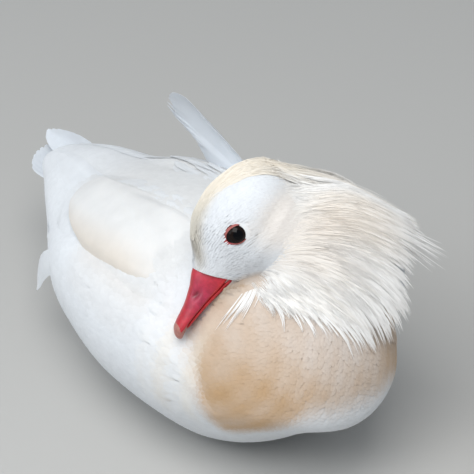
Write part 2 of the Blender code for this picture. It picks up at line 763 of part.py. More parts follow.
def make_raised_sail():
    """The left wing's broad fan feather, standing over the back."""
    root = np.array([2.0, 98.0]) * MM
    share = np.linspace(0, 1, len(SAIL_EDGE))[None, :]
    r = np.linspace(0, 1, 6)[:, None]
    r = 0.06 + 0.94 * r
    flat = root + (SAIL_EDGE[None, :, :] - root) * r[..., None]
    x, z = flat[..., 0], flat[..., 1]
    y = SAIL_AT[1] - (SAIL_NORMAL[0] * (x - SAIL_AT[0]) + SAIL_NORMAL[2] * (z - SAIL_AT[2])) / SAIL_NORMAL[1]
    y = y + 3 * MM * np.sin(math.pi * r) * np.sin(math.pi * share)
    points = np.stack([x, y, z], axis=-1)
    normal = np.broadcast_to(SAIL_NORMAL / np.linalg.norm(SAIL_NORMAL), points.shape)
    sail = plate("sail_left", points, normal, 0.9 * MM * np.ones(points.shape[:2]))
    barbs = []
    for i in range(4):
        at = np.array([x[-1, 5], y[-1, 5], z[-1, 5]]) * (1 - i / 3) + np.array([x[-1, 7], y[-1, 7], z[-1, 7]]) * i / 3
        out = np.array([-1, 0.05, 0.35 - 0.3 * i]) * (4.5 + i % 2) * MM
        path = np.stack([at - 1.6 * out, at - 0.4 * out, at + 0.4 * out, at + out])
        barbs.append(vane("barb", path, np.array([4, 3.6, 2.4, 1]) * MM, np.tile(normal[0, 0], (4, 1)), 0.7 * MM))
    combine(sail, barbs, "UNION")
    cutters = [grown_torso(), wing_core("wing_cutter", 1, GAP), *primaries(1, GAP), *wing_tiers(1, GAP)]
    combine(sail, cutters, "DIFFERENCE")
    finish(sail, "plumage")


def make_folded_sail():
    """The right wing's broad fan feather, laid back over the wing with its round end free."""
    s = np.linspace(0, 1, 11)[:, None]
    t = np.linspace(0, 1, 9)[None, :]
    back = (-86 + 10 * t + 34 * t ** 3 + 7 * (1 - t) ** 4) * MM
    x = 16 * MM + (back - 16 * MM) * s
    spread = 0.5 + 0.5 * np.sin(s * math.pi / 2) ** 0.7
    angle = np.radians(44 + (22 + (69 - 22) * t - 44) * spread)
    lift = WING_THICK + (1.1 + 1.5 * np.minimum(1, s / 0.25) + 2.2 * s ** 2) * MM
    points, way = torso_surface(x, angle, -1, lift)
    sail = plate("sail_right", points, way, 0.9 * MM * np.ones(x.shape))
    finish(sail, "plumage")


# Tail feathers as their lateral place, turn and length, in mm and degrees
RECTRICES = [(1, 0, 42), (3, 1.5, 42), (5, 3, 41.5), (7, 4.5, 40), (8.5, 6, 38), (9.5, 8, 35)]


def make_tail():
    """Tail coverts over a fan of tail feathers."""
    tail = loft_object("tail", TORSO, TORSO_RINGS, 20)
    sliced(tail, (TAIL_CUT_X - GAP / 2, 0, 0), (1, 0, 0))
    feathers = []
    t = np.linspace(0, 1, 5)[:, None]
    for i, (place, turn, length) in enumerate(RECTRICES):
        for side in (1, -1):
            a = math.radians(turn) * side
            root = np.array([-121.0, place * 0.8 * side, 61.0]) * MM
            tip = root + length * MM * np.array([-math.cos(a), math.sin(a), 0.06 + 0.1 * side])
            path = root + (tip - root) * t
            path[:, 2] += (0.7 * (5 - i) - 1.6 + 0.3 * (side > 0)) * MM
            width = 12.5 * MM * np.array([0.7, 0.9, 1, 1.05, 0.6])
            up = np.tile([0, -0.1 * side, 1.0], (5, 1))
            feathers.append(vane("rectrix", path, width, up, 0.8 * MM))
    combine(tail, feathers, "UNION")
    finish(tail, "plumage")


RUFF_ROOT = {"front": 13 * MM, "back": -31 * MM, "high": -10 * MM, "nape": 3 * MM}
RUFF_SHARES = [0, 0.2, 0.4, 0.6, 0.8, 1]
RUFF_TIPS = np.array([(28, -35), (21, -59), (8, -75), (-8, -79), (-26, -75), (-46, -64)]) * MM


def ruff_path(side, share, reach, steps):
    """One line of the ruff in the head's frame: share runs from the throat to the nape."""
    root = np.array([
        RUFF_ROOT["front"] + (RUFF_ROOT["back"] - RUFF_ROOT["front"]) * share,
        side * 15 * MM,
        RUFF_ROOT["high"] + 7 * MM * math.sin(math.pi * share) + RUFF_ROOT["nape"] * share ** 3,
    ])
    tip_a, tip_c = (np.interp(share, RUFF_SHARES, RUFF_TIPS[:, k]) for k in (0, 1))
    tip = np.array([tip_a, side * (26 - 8 * share ** 3) * MM, tip_c])
    tip = root + (tip - root) * reach
    bend = (root + tip) / 2 + np.array([-3 * MM * share, side * 8 * MM, 6 * MM])
    return head_point(curve_between(root, bend, tip, steps))


def drape_clearance(points, least):
    """How far over the bodies a hanging feather stays: more where the folded wings lie."""
    over_wing = np.clip((44 * MM - points[:, 0]) / (12 * MM), 0, 1)
    return least + over_wing * (WING_THICK + 1 * MM)


def down_to_back(path, steps):
    """The part of a path before it comes near the torso and its folded wing, in equal steps."""
    room = outside(path, TORSO) - drape_clearance(path, 2.4 * MM)
    near = np.nonzero(room < 0)[0]
    stop = near[0] if len(near) else len(path) - 1
    at = np.linspace(0, max(stop, 6), steps)
    return np.stack([np.interp(at, np.arange(len(path)), path[:, k]) for k in range(3)], axis=1)


RUFF_SIDES = {
    1: {"name": "ruff_left", "first": 0.0, "reach": 1.0, "core": 0.5, "locks": 13},
    -1: {"name": "ruff_right", "first": 0.55, "reach": 0.9, "core": 0.5, "locks": 5},
}


def ruff_core(side, plan):
    """The cape that the locks of one cheek grow out of, half way to their tips."""
    rows = []
    for share in np.linspace(plan["first"], 1, 9):
        if side > 0:
            path = lifted(ruff_path(side, share, plan["core"], 6), 2.2 * MM, [TORSO, NECK, HEAD])
        else:
            path = ruff_path(side, share, plan["reach"], 40)
            path = down_to_back(lifted(path, 2.2 * MM, [NECK, HEAD], 8 * MM), 11)[:6]
        rows.append(path)
    points = np.stack(rows, axis=1)
    _, way = height_over(points.reshape(-1, 3), [NECK, HEAD], 8 * MM)
    return plate(plan["name"], points, way.reshape(points.shape), 1.8 * MM * np.ones(points.shape[:2]))


def make_ruffs():
    """The long whisker feathers of each cheek. The right ones end on the back, the left ones over the breast."""
    for side, plan in RUFF_SIDES.items():
        ruff = ruff_core(side, plan)
        locks = []
        for i in range(plan["locks"]):
            share = plan["first"] + (1 - plan["first"]) * (0.03 + 0.94 * i / (plan["locks"] - 1))
            over = i % 2
            if side > 0:
                path = ruff_path(side, share, plan["reach"] * uneven(i, 0.1), 30)[6:][::4]
                clearance = drape_clearance(path, (2.3 + 0.5 * over) * MM)
            else:
                path = ruff_path(side, share, plan["reach"], 40)
                path = down_to_back(lifted(path, 2.2 * MM, [NECK, HEAD], 8 * MM), 11)[3:]
                clearance = (2.4 + 0.4 * over) * MM * np.ones(len(path))
            bodies = [TORSO, NECK, HEAD] if side > 0 else [NECK, HEAD]
            locks.append(lock(path, 8 * MM, 1.2 * MM, clearance, bodies))
        combine(ruff, locks, "UNION", "EXACT" if side > 0 else "MANIFOLD", 0)
        finish(ruff, "crest")


CREST_LINE = np.array([(15, 14.5), (-2, 20), (-20, 16), (-32, 3), (-40, -15), (-45, -37), (-47, -64)]) * MM


def crest_path(turn, reach, start, steps, height):
    """One line of the crest from the crown down the nape, turned out from its middle by some degrees."""
    t = start + (reach - start) * np.linspace(0, 1, steps)
    knots = np.linspace(0, 1, len(CREST_LINE))
    a = eased(t, knots, CREST_LINE[:, 0])
    c = eased(t, knots, CREST_LINE[:, 1])
    out = math.sin(math.radians(turn))
    b = out * 15 * MM * (0.6 + 0.7 * t)
    c = c - (1 - math.cos(math.radians(turn))) * 14 * MM
    path = head_point(np.stack([a, b, c], axis=1))
    return lifted(path, height, [TORSO, NECK, HEAD])


def make_crest():
    """The long feathers of the crown and nape, as a smooth cap that breaks up into locks down the neck."""
    rows = [crest_path(turn, 0.62, 0.05, 7, 1.4 * MM) for turn in np.linspace(-60, 60, 7)]
    points = np.stack(rows, axis=1)
    _, way = height_over(points.reshape(-1, 3), [TORSO, NECK, HEAD], 8 * MM)
    crest = plate("crest", points, way.reshape(points.shape), 1.6 * MM * np.ones(points.shape[:2]))
    locks = []
    for i in range(9):
        turn = -54 + 108 * i / 8
        reach = (1 - 0.16 * abs(turn) / 54) * uneven(i, 0.05)
        height = (1.4 + 0.45 * (i % 2)) * MM
        path = crest_path(turn, reach, 0.42, 6, height)
        locks.append(lock(path, 8.6 * MM, 1.3 * MM, height, [TORSO, NECK, HEAD]))
    combine(crest, locks, "UNION", flatten=0)
    combine(crest, [grown_head()], "DIFFERENCE", flatten=0)
    finish(crest, "crest")


def main():
    clear_scene()
    make_torso()
    make_neck()
    make_head()
    make_bill()
    make_eyes()
    make_legs()
    make_wings()
    make_flanks()
    make_raised_sail()
    make_folded_sail()
    make_tail()
    make_crest()
    make_ruffs()


main()
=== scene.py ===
import math

import bmesh
import bpy
import numpy as np
from mathutils import Matrix


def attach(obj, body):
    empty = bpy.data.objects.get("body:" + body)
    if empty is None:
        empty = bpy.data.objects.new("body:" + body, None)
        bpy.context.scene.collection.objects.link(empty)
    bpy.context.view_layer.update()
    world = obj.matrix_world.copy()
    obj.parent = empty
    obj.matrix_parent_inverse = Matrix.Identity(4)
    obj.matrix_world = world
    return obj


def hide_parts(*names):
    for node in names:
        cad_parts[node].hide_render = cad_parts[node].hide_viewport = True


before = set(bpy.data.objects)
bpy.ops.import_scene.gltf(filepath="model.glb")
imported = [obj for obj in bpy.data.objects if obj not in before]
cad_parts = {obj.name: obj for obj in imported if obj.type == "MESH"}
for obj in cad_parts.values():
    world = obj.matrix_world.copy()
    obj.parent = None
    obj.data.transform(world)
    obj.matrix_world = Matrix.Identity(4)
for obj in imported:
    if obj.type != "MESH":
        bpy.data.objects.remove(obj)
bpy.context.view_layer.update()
mm = 0.001
print("frame loaded", len(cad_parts), "nodes")

# the body as lofts: distance along, half width, middle height, rise above it, drop below it, in mm
torsoStations = [
    (108, 0, 58, 0, 0), (103, 20, 59, 21, 14), (93, 32.5, 58, 36, 18), (78, 43.5, 56.5, 46.5, 27),
    (62, 51, 55, 53, 38.5), (45, 54.5, 53.5, 57, 47.5), (28, 57, 53, 57.5, 53.5), (-14, 58, 52.5, 56, 56),
    (-55, 52.5, 52.5, 45.5, 55.5), (-80, 45, 54, 35.5, 50), (-100, 37, 57, 26.5, 38), (-118, 28, 60, 20, 25),
    (-136, 18, 61, 12, 14), (-150, 10, 61, 5, 6), (-154, 0, 61, 0, 0),
]
headStations = [
    (-35, 0, -3, 0, 0), (-31, 10, -3, 10, 13), (-20, 17, -4, 19, 21), (-7, 18.3, -4, 22.5, 22),
    (4, 16.4, -4, 21.5, 20), (13, 12.8, -4, 17, 16.5), (20, 10.5, -4.5, 11, 12.5), (26, 8.6, -5, 8, 10),
    (34, 0, -6, 0, 0),
]
upperBill = [
    (10, 0, -7, 0, 0), (14, 8.8, -9.5, 14, 3.4), (25, 8.2, -8.8, 11.8, 3), (33, 7.1, -8.2, 7.4, 2.4),
    (42, 6.2, -8, 4.2, 1.8), (50, 5.3, -8.2, 3, 1.5), (55, 0, -9, 0, 0),
]
lowerBill = [
    (10, 0, -12.6, 0, 0), (14, 7.6, -13.0, 1.6, 3.6), (25, 6.8, -11.6, 1.4, 2.6), (38, 5.3, -10.2, 1.2, 1.7),
    (47, 4.4, -9.9, 1, 1.2), (50.4, 0, -10, 0, 0),
]
billNail = [
    (46, 0, -7, 0, 0), (47.5, 5.2, -7.6, 2.6, 2.4), (51, 4.8, -8, 2.7, 3), (54, 2.9, -9.2, 2, 2.6),
    (55.4, 0, -10, 0, 0),
]
neckStations = [
    (0, 0, 0, 0, 0), (7, 17, 0, 17, 19), (24, 21, 0, 20, 24), (46, 24, 0, 23, 25), (66, 23, 0, 22, 22),
    (80, 0, 0, 0, 0),
]

headPlace = {"at": (39.0, -22.5, 127.0), "yaw": -90.0, "pitch": -46.0, "roll": 28.0}
# the view of the photo: a point in mm, and where it lies in the picture in pixels
photoView = {"azimuth": 56.0, "elevation": 33.0, "distance": 1.4, "pxPerMm": 2.1, "aim": (0, 0, 57),
             "aimPx": (224, 299), "frame": 474}


def turnedAxes(yaw, pitch, roll):
    # forward from the yaw and pitch, left level with the ground, both then rolled about forward
    y, p, r = (math.radians(v) for v in (yaw, pitch, roll))
    forward = np.array([math.cos(y) * math.cos(p), math.sin(y) * math.cos(p), math.sin(p)])
    left = np.array([-math.sin(y), math.cos(y), 0.0])
    up = np.cross(forward, left)
    return np.array([
        forward,
        left * math.cos(r) + up * math.sin(r),
        up * math.cos(r) - left * math.sin(r),
    ])


headAxes = turnedAxes(headPlace["yaw"], headPlace["pitch"], headPlace["roll"])
headAt = np.array(headPlace["at"]) * mm


def headPoint(local):
    # a point given forward, left and up of the middle between the eyes
    return headAt + np.asarray(local) @ headAxes


def inHead(points):
    # the same the other way round
    return (points - headAt) @ headAxes.T


def form(stations, origin=(0, 0, 0), axes=np.eye(3)):
    # a loft in metres, along the first of its axes from its origin
    return {"table": np.array(stations) * mm, "origin": np.array(origin), "axes": np.array(axes)}


torso = form(torsoStations)
head = form(headStations, headAt, headAxes)
neck = form(neckStations, headPoint((-11 * mm, 0, -6 * mm)),
            np.array([-headAxes[2], headAxes[1], headAxes[0]]))
body = [torso, neck, head]
bill = [form(upperBill, headAt, headAxes), form(lowerBill, headAt, headAxes)]


def eased(x, xs, ys):
    # cubic through the points with harmonic-mean slopes, so that it never overshoots
    order = np.argsort(xs)
    xs, ys = xs[order], ys[order]
    step = np.diff(xs)
    slope = np.diff(ys) / step
    both = slope[:-1] * slope[1:]
    total = slope[:-1] + slope[1:]
    inner = np.where(both > 0, 2 * both / np.where(both > 0, total, 1), 0)
    m = np.concatenate([slope[:1], inner, slope[-1:]])
    i = np.clip(np.searchsorted(xs, x) - 1, 0, len(step) - 1)
    t = np.clip((x - xs[i]) / step[i], 0, 1)
    blend = t * t * (3 - 2 * t)
    return ys[i] * (1 - blend) + ys[i + 1] * blend + step[i] * t * (1 - t) * (m[i] * (1 - t) - m[i + 1] * t)


def smooth(x, low, high):
    # 0 below low, 1 above high, eased between
    t = np.clip((x - low) / (high - low), 0, 1)
    return t * t * (3 - 2 * t)


def section(loft, s):
    # half width, middle, rise and drop at a distance along, from eased squares, so that ends are round
    t = loft["table"]
    width, rise, drop = (np.sqrt(np.maximum(eased(s, t[:, 0], t[:, k] ** 2), 0)) for k in (1, 3, 4))
    return width, eased(s, t[:, 0], t[:, 2]), rise, drop


def loftPoint(loft, s, angle):
    # the ellipse of the section at s, at an angle from its top towards its left
    s, angle = np.broadcast_arrays(np.asarray(s, float), np.asarray(angle, float))
    width, middle, rise, drop = section(loft, s)
    tall = np.where(np.cos(angle) > 0, rise, drop)
    local = np.stack([s, width * np.sin(angle), middle + tall * np.cos(angle)], axis=-1)
    return loft["origin"] + local @ loft["axes"]


def outside(points, loft):
    # distance outside the loft: in its cross section the part of the way from the middle that lies past the
    # ellipse, run together with the distance past its ends by a soft maximum
    local = (points - loft["origin"]) @ loft["axes"].T
    ends = loft["table"][:, 0]
    s = np.clip(local[:, 0], ends.min() + 0.5 * mm, ends.max() - 0.5 * mm)
    width, middle, rise, drop = section(loft, s)
    z = local[:, 2] - middle
    tall = np.maximum(np.where(z > 0, rise, drop), mm)
    wide = np.maximum(width, mm)
    spread = np.hypot(local[:, 1] / wide, z / tall)
    far = np.hypot(local[:, 1], z)
    radial = np.where(spread > 1e-6, far - far / np.maximum(spread, 1e-6), -np.minimum(wide, tall))
    beyond = np.maximum(ends.min() - local[:, 0], local[:, 0] - ends.max()) + 0.4 * mm
    high = np.maximum(radial, beyond)
    return high + mm * np.log(np.exp((radial - high) / mm) + np.exp((beyond - high) / mm))


# wing and flank as patches of the torso: x of both ends, and share along and angle from the top of two edges
wingForm = {
    "front": 34, "back": -90, "upper": [(0, 62), (0.15, 44), (0.45, 27), (0.8, 19), (1, 26)],
    "lower": [(0, 68), (0.15, 78), (0.5, 78), (0.85, 70), (1, 54)], "thick": 4.0,
}
flankForm = {
    "front": 66, "back": -96, "upper": [(0, 96), (0.12, 74), (0.35, 63), (0.7, 63), (0.9, 72), (1, 88)],
    "lower": [(0, 102), (0.12, 118), (0.5, 136), (0.85, 124), (1, 98)], "thick": 7.0,
}


def patchShare(points, patch):
    # how far along and across a side patch of the torso each point lies, 0 to 1 inside it
    x = points[:, 0] / mm
    middle = section(torso, points[:, 0])[1]
    angle = np.degrees(np.arctan2(np.abs(points[:, 1]), points[:, 2] - middle))
    s = (patch["front"] - x) / (patch["front"] - patch["back"])
    clipped = np.clip(s, 0, 1)
    upper = eased(clipped, *np.array(patch["upper"], float).T)
    lower = eased(clipped, *np.array(patch["lower"], float).T)
    return s, (angle - upper) / (lower - upper)


def sideLift(points):
    # the rise of wings and flanks over the torso
    s, t = patchShare(points, wingForm)
    wing = (smooth(s, -0.05, 0.25) * smooth(1.1 - s, 0, 0.3)
            * smooth(t, -0.15, 0.2) * smooth(1.6 - t, 0, 0.5))
    s, t = patchShare(points, flankForm)
    flank = (smooth(s, -0.05, 0.3) * smooth(1.08 - s, 0, 0.3)
             * smooth(t, -0.25, 0.12) * smooth(1.15 - t, 0, 0.9))
    return np.maximum(wing * wingForm["thick"], flank * flankForm["thick"]) * mm


def heightOver(points, lofts=body, lift=True):
    # distance outside the lofts, run together by a soft minimum, and its gradient as the way out
    blend = 4 * mm

    def field(p):
        each = np.array([outside(p, loft) for loft in lofts])
        if lift:
            each[0] -= sideLift(p)
        low = each.min(0)
        return low - blend * np.log(np.exp(-(each - low) / blend).sum(0))

    step = 0.4 * mm
    value = field(points)
    slope = np.stack([
        (field(points + step * axis) - field(points - step * axis)) / (2 * step) for axis in np.eye(3)
    ], axis=1)
    size = np.maximum(np.linalg.norm(slope, axis=1), 0.35)
    return value / size, slope / size[:, None]


def settled(points, height, rounds=4, lowest=-6 * mm):
    # points moved along the way out until they are at the height over the body, and that way
    shape = points.shape
    flat = points.reshape(-1, 3)
    high = (np.ones(shape[:-1]) * height).reshape(-1)
    for _ in range(rounds):
        now, way = heightOver(flat)
        flat = flat + way * np.clip(high - now, lowest, 6 * mm)[:, None]
    way = way / np.linalg.norm(way, axis=1)[:, None]
    return flat.reshape(shape), way.reshape(shape)


def lifted(points, height):
    # the same, for points that are too low only
    return settled(points, height, lowest=0)


def unit(v):
    # each vector at length 1
    return v / np.maximum(np.linalg.norm(v, axis=-1, keepdims=True), 1e-9)


def newMesh(name, points, quads=None, tris=None, sharp=50):
    # one mesh object from an array of points and arrays of four- and three-cornered faces
    mesh = bpy.data.meshes.new(name)
    quads = np.zeros((0, 4), int) if quads is None else np.asarray(quads)
    tris = np.zeros((0, 3), int) if tris is None else np.asarray(tris)
    mesh.vertices.add(len(points))
    mesh.vertices.foreach_set("co", np.asarray(points, np.float32).ravel())
    corners = np.concatenate([quads.ravel(), tris.ravel()])
    sizes = np.concatenate([np.full(len(quads), 4), np.full(len(tris), 3)])
    mesh.loops.add(len(corners))
    mesh.loops.foreach_set("vertex_index", corners.astype(np.int32))
    mesh.polygons.add(len(sizes))
    mesh.polygons.foreach_set("loop_start", np.concatenate([[0], np.cumsum(sizes)[:-1]]).astype(np.int32))
    mesh.update(calc_edges=True)
    mesh.validate()
    mesh.shade_smooth()
    if sharp:
        mesh.set_sharp_from_angle(angle=math.radians(sharp))
    obj = bpy.data.objects.new(name, mesh)
    bpy.context.scene.collection.objects.link(obj)
    return obj


def setTint(obj, colours):
    # one colour for each point of the mesh
    made = obj.data.color_attributes.new("tint", "FLOAT_COLOR", "POINT")
    rgba = np.concatenate([colours, np.ones((len(colours), 1))], axis=1)
    made.data.foreach_set("color", rgba.astype(np.float32).ravel())


def setUv(obj, name, uv):
    # one place for each point of the mesh, given to its corners
    layer = obj.data.uv_layers.new(name=name)
    corners = np.empty(len(obj.data.loops), np.int32)
    obj.data.loops.foreach_get("vertex_index", corners)
    layer.data.foreach_set("uv", uv[corners].astype(np.float32).ravel())


def gridFaces(rows, columns, closed=True):
    # quads between neighbours of a grid, round its columns if closed
    i, j = np.meshgrid(np.arange(rows - 1), np.arange(columns if closed else columns - 1), indexing="ij")
    k = (j + 1) % columns
    low, high = i * columns, (i + 1) * columns
    return np.stack([low + j, low + k, high + k, high + j], -1).reshape(-1, 4)


def ringBody(name, rings, start, end, sharp=50):
    # a closed skin through rings of points, with a point at each end
    count, around = rings.shape[:2]
    points = np.concatenate([rings.reshape(-1, 3), [start, end]])
    j = np.arange(around)
    k = (j + 1) % around
    first, last = count * around, count * around + 1
    caps = np.concatenate([
        np.stack([np.full(around, first), k, j], -1),
        np.stack([np.full(around, last), (count - 1) * around + j, (count - 1) * around + k], -1),
    ])
    return facingOut(newMesh(name, points, gridFaces(count, around), caps, sharp))


def facingOut(obj):
    # its faces turned outwards
    made = bmesh.new()
    made.from_mesh(obj.data)
    bmesh.ops.recalc_face_normals(made, faces=made.faces)
    made.to_mesh(obj.data)
    made.free()
    return obj


def loftBody(name, loft, rings, around):
    # the loft's ellipses as a closed skin, its rings closer together towards the round ends
    ends = loft["table"][:, 0]
    low, high = ends.min(), ends.max()
    s = low + (high - low) * (1 - np.cos(np.linspace(0, math.pi, rings + 2)[1:-1])) / 2
    angle = np.linspace(0, 2 * math.pi, around, endpoint=False)
    points = loftPoint(loft, s[:, None], angle[None, :])
    return ringBody(name, points, loftPoint(loft, low, 0.0), loftPoint(loft, high, 0.0))


# the markings and painted shade, the same on skin and feathers
tones = {
    "white": (0.83, 0.855, 0.885), "pure": (0.905, 0.895, 0.88), "warm": (0.76, 0.755, 0.74),
    # ash is painted shade for the cream band where it faces away from the light
    "cream": (0.84, 0.77, 0.66), "ashShade": (0.58, 0.545, 0.47), "tan": (0.56, 0.375, 0.22),
    # the sail tone also serves as painted shade, on the flank under the folded wing and along its lower edge
    "cheek": (0.88, 0.80, 0.72), "beige": (0.85, 0.75, 0.63), "sail": (0.70, 0.62, 0.53),
    # cool is a painted shaded white, bluish, for the raised sail and the tail
    "coolShade": (0.74, 0.78, 0.83), "panel": (0.76, 0.755, 0.745), "creaseShadow": (0.33, 0.27, 0.22),
}
tones = {name: np.array(value) for name, value in tones.items()}


def mixed(base, tone, share):
    # each colour taken towards a tone by its share
    return base * (1 - share[:, None]) + tones[tone] * share[:, None]


def markingsAndShade(points):
    # the bird's colours as soft spots and bands, some of them painted shade, in the body's and in the head's
    # own directions
    p = points / mm
    h = inHead(points) / mm
    a, b, c = h.T
    colour = np.tile(tones["white"], (len(p), 1))
    # throat: a painted shadow along the crease from the corner of the bill
    across = 0.83 * (a - 20.3) - 0.55 * (c + 18.5)
    along = 0.55 * (a - 20.3) + 0.83 * (c + 18.5)
    creaseShadow = np.exp(-(across / 1.3) ** 2) * smooth(7 - np.abs(along), 0, 3) * smooth(b, 0, 4)
    colour = mixed(colour, "creaseShadow", 0.55 * creaseShadow)
    # breast: a tan bib between the whiskers and the white belly, its lower edge higher towards the front
    x, y, z = p.T
    above = outside(points, torso)
    onTorso = 1 - smooth(above, 3 * mm, 9 * mm)
    onNeck = (1 - smooth(above, 8 * mm, 22 * mm)) * smooth(outside(points, head), 5 * mm, 13 * mm)
    drop = 29 * smooth(-y, 18, 50) + 17 * smooth(y, 18, 50)
    bib = smooth(x - 55 - 0.45 * (70 - z), -7, 8) * smooth(z - 64 + drop, -8, 9)
    patchy = 0.06 * np.sin(0.33 * y + 0.8) * np.sin(0.27 * z) + 0.04 * np.sin(0.9 * y - 0.5 * z)
    # the tan painted stronger towards the sides and lower down: the bib's own colour, with painted shade
    # where the breast turns away from the light
    bib = (bib * (0.7 + patchy + 0.26 * smooth(np.abs(y), 4, 34))
           * (1 - 0.24 * smooth(z, 68, 94)) * np.maximum(onTorso, onNeck))
    colour = mixed(colour, "tan", bib)
    # flank: faint cream bars beside the bib
    bars = smooth(x, 24, 40) * smooth(66 - x, 0, 10) * smooth(z, 34, 50) * smooth(96 - z, 0, 14)
    colour = mixed(colour, "cream", (0.3 + 0.16 * np.sin(x / 2.1)) * bars)
    # head: a cream band over forehead, crown and nape, white stripe over the eye, warm cheek
    nearHead = smooth(above, -2 * mm, 8 * mm)
    crown = smooth(10 - np.abs(b), 0, 7) * smooth(c + 0.9 * np.abs(b), 4, 12) * smooth(32 - a, 0, 8)
    nape = smooth(11 - np.abs(b), 0, 7) * smooth(-a, 18, 30)
    colour = mixed(colour, "cream", 0.9 * np.maximum(crown, nape) * nearHead)
    # the band painted darker towards the forehead, as painted shade where it faces away from the light
    colour = mixed(colour, "ashShade", 0.85 * crown * smooth(a, -8, 10) * nearHead)
    cheek = smooth(1 - np.hypot((a + 17) / 24, (c + 11) / 17), 0, 0.6) * smooth(np.abs(b), 5, 11)
    colour = mixed(colour, "cheek", 0.7 * cheek * nearHead)
    # flank: a painted brownish shadow under the folded wing
    wingShadow = (smooth(x, -50, -30) * smooth(34 - x, 0, 20) * smooth(z, 60, 72)
             * smooth(92 - z, 0, 10) * smooth(-y, 20, 40))
    colour = mixed(colour, "sail", 0.4 * wingShadow * onTorso)
    # warm tint over the back, stronger on the wing near the head
    back = smooth(z, 76, 98) * smooth(44 - x, 0, 30) * onTorso
    colour = mixed(colour, "warm", 0.8 * back)
    return colour


def fill(tree, made, inputs):
    # a shader node's sockets filled from values or other sockets, with _ in a name for its space
    for key, value in inputs.items():
        socket = made.inputs[key.replace("_", " ")]
        if isinstance(value, bpy.types.NodeSocket):
            tree.links.new(value, socket)
        else:
            socket.default_value = value
    return made


def node(tree, kind, **inputs):
    # one shader node, filled
    return fill(tree, tree.nodes.new(kind), inputs)


def newMaterial(name, **inputs):
    # a material, its node tree and its shader, filled
    mat = bpy.data.materials.new(name)
    mat.use_nodes = True
    return mat, mat.node_tree, fill(mat.node_tree, mat.node_tree.nodes["Principled BSDF"], inputs)


def meshTint(tree):
    # the colour that setTint gave to the mesh
    tint = tree.nodes.new("ShaderNodeVertexColor")
    tint.layer_name = "tint"
    return tint.outputs["Color"]


def mottledTint(tree, noise, spread, strength):
    # the mesh's colour times a noise, whose spread from low to high is taken to two strengths
    ramp = node(tree, "ShaderNodeMapRange", Value=noise.outputs["Fac"], From_Min=spread[0],
                From_Max=spread[1], To_Min=strength[0], To_Max=strength[1])
    mix = tree.nodes.new("ShaderNodeMix")
    mix.data_type = "RGBA"
    mix.blend_type = "MULTIPLY"
    mix.inputs[0].default_value = 1.0
    tree.links.new(meshTint(tree), mix.inputs[6])
    tree.links.new(ramp.outputs["Result"], mix.inputs[7])
    return mix.outputs[2]


def mathNode(tree, operation, *values):
    # a math node's result from values or other sockets
    made = tree.nodes.new("ShaderNodeMath")
    made.operation = operation
    for place, value in enumerate(values):
        if isinstance(value, bpy.types.NodeSocket):
            tree.links.new(value, made.inputs[place])
        else:
            made.inputs[place].default_value = value
    return made.outputs[0]


def featherMaterial(name, settings):
    # tint from the mesh, mottled a little, with barbs as bump across each feather's own map
    mat, tree, shader = newMaterial(
        name, Roughness=settings["roughness"], Sheen_Weight=settings["sheen"], Sheen_Roughness=0.5,
        Specular_IOR_Level=0.25, Subsurface_Weight=settings["through"], Subsurface_Radius=(1.0, 0.8, 0.65),
        Subsurface_Scale=0.003,
    )
    where = tree.nodes.new("ShaderNodeTexCoord").outputs["Object"]
    mottle = node(tree, "ShaderNodeTexNoise", Vector=where, Scale=settings["mottle"], Detail=3.0)
    if settings["barbs"]:
        vane = tree.nodes.new("ShaderNodeUVMap")
        vane.uv_map = "vane"
        apart = node(tree, "ShaderNodeSeparateXYZ", Vector=vane.outputs["UV"])
        centre = mathNode(tree, "ABSOLUTE", mathNode(tree, "SUBTRACT", apart.outputs["X"], 0.5))
        slant = mathNode(tree, "MULTIPLY_ADD", centre, -settings["slant"], apart.outputs["Y"])
        line = node(tree, "ShaderNodeCombineXYZ", X=slant)
        height = node(tree, "ShaderNodeTexWave", Vector=line.outputs["Vector"], Scale=settings["barbs"],
                      Distortion=2.0, Detail=2.0).outputs["Fac"]
    else:
        height = node(tree, "ShaderNodeTexNoise", Vector=where, Scale=1600.0, Detail=4.0).outputs["Fac"]
    bump = node(tree, "ShaderNodeBump", Height=height, Strength=settings["bump"], Distance=0.0002)
    fill(tree, shader, {"Normal": bump.outputs["Normal"],
                        "Base Color": mottledTint(tree, mottle, (0.3, 0.7), (1 - settings["uneven"], 1.0))})
    return mat


feather = featherMaterial("softFeather", {
    "roughness": 0.72, "sheen": 0.2, "through": 0.12, "mottle": 220.0, "uneven": 0.05, "barbs": 14.0,
    "slant": 0.5, "bump": 0.25,
})
skinFeather = featherMaterial("downUnderneath", {
    "roughness": 0.8, "sheen": 0.25, "through": 0.12, "mottle": 260.0, "uneven": 0.08, "barbs": 0,
    "bump": 0.5,
})
hairFeather = featherMaterial("whiskerFeather", {
    "roughness": 0.55, "sheen": 0.2, "through": 0.1, "mottle": 200.0, "uneven": 0.04, "barbs": 0,
    "bump": 0.05,
})
wideFeather = featherMaterial("wingFeather", {
    "roughness": 0.62, "sheen": 0.15, "through": 0.1, "mottle": 120.0, "uneven": 0.06, "barbs": 60.0,
    "slant": 0.45, "bump": 0.4,
})


def dress(obj, material, slot, *nodes):
    # its material, that it rides on the one body, and the nodes whose solids it replaces; its slot is not
    # used
    obj.data.materials.clear()
    obj.data.materials.append(material)
    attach(obj, "root")
    if nodes:
        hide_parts(*nodes)


def pointsOf(mesh):
    points = np.empty(len(mesh.vertices) * 3, np.float32)
    mesh.vertices.foreach_get("co", points)
    return points.reshape(-1, 3).astype(float)


def movePoints(mesh, points):
    mesh.vertices.foreach_set("co", points.astype(np.float32).ravel())
    mesh.update()


# skin: torso, neck and head run together, inside the feathers
skin = {"depth": 0.7, "voxel": 2.0, "headDepth": 0.5, "footRoom": 2.4}
# the plane, forward and down on the head, that skin and feathers stop at where the bill begins
billRoot = {"normal": np.array([0.936, 0.0, -0.351]), "skin": 22.2, "coat": 22.0}


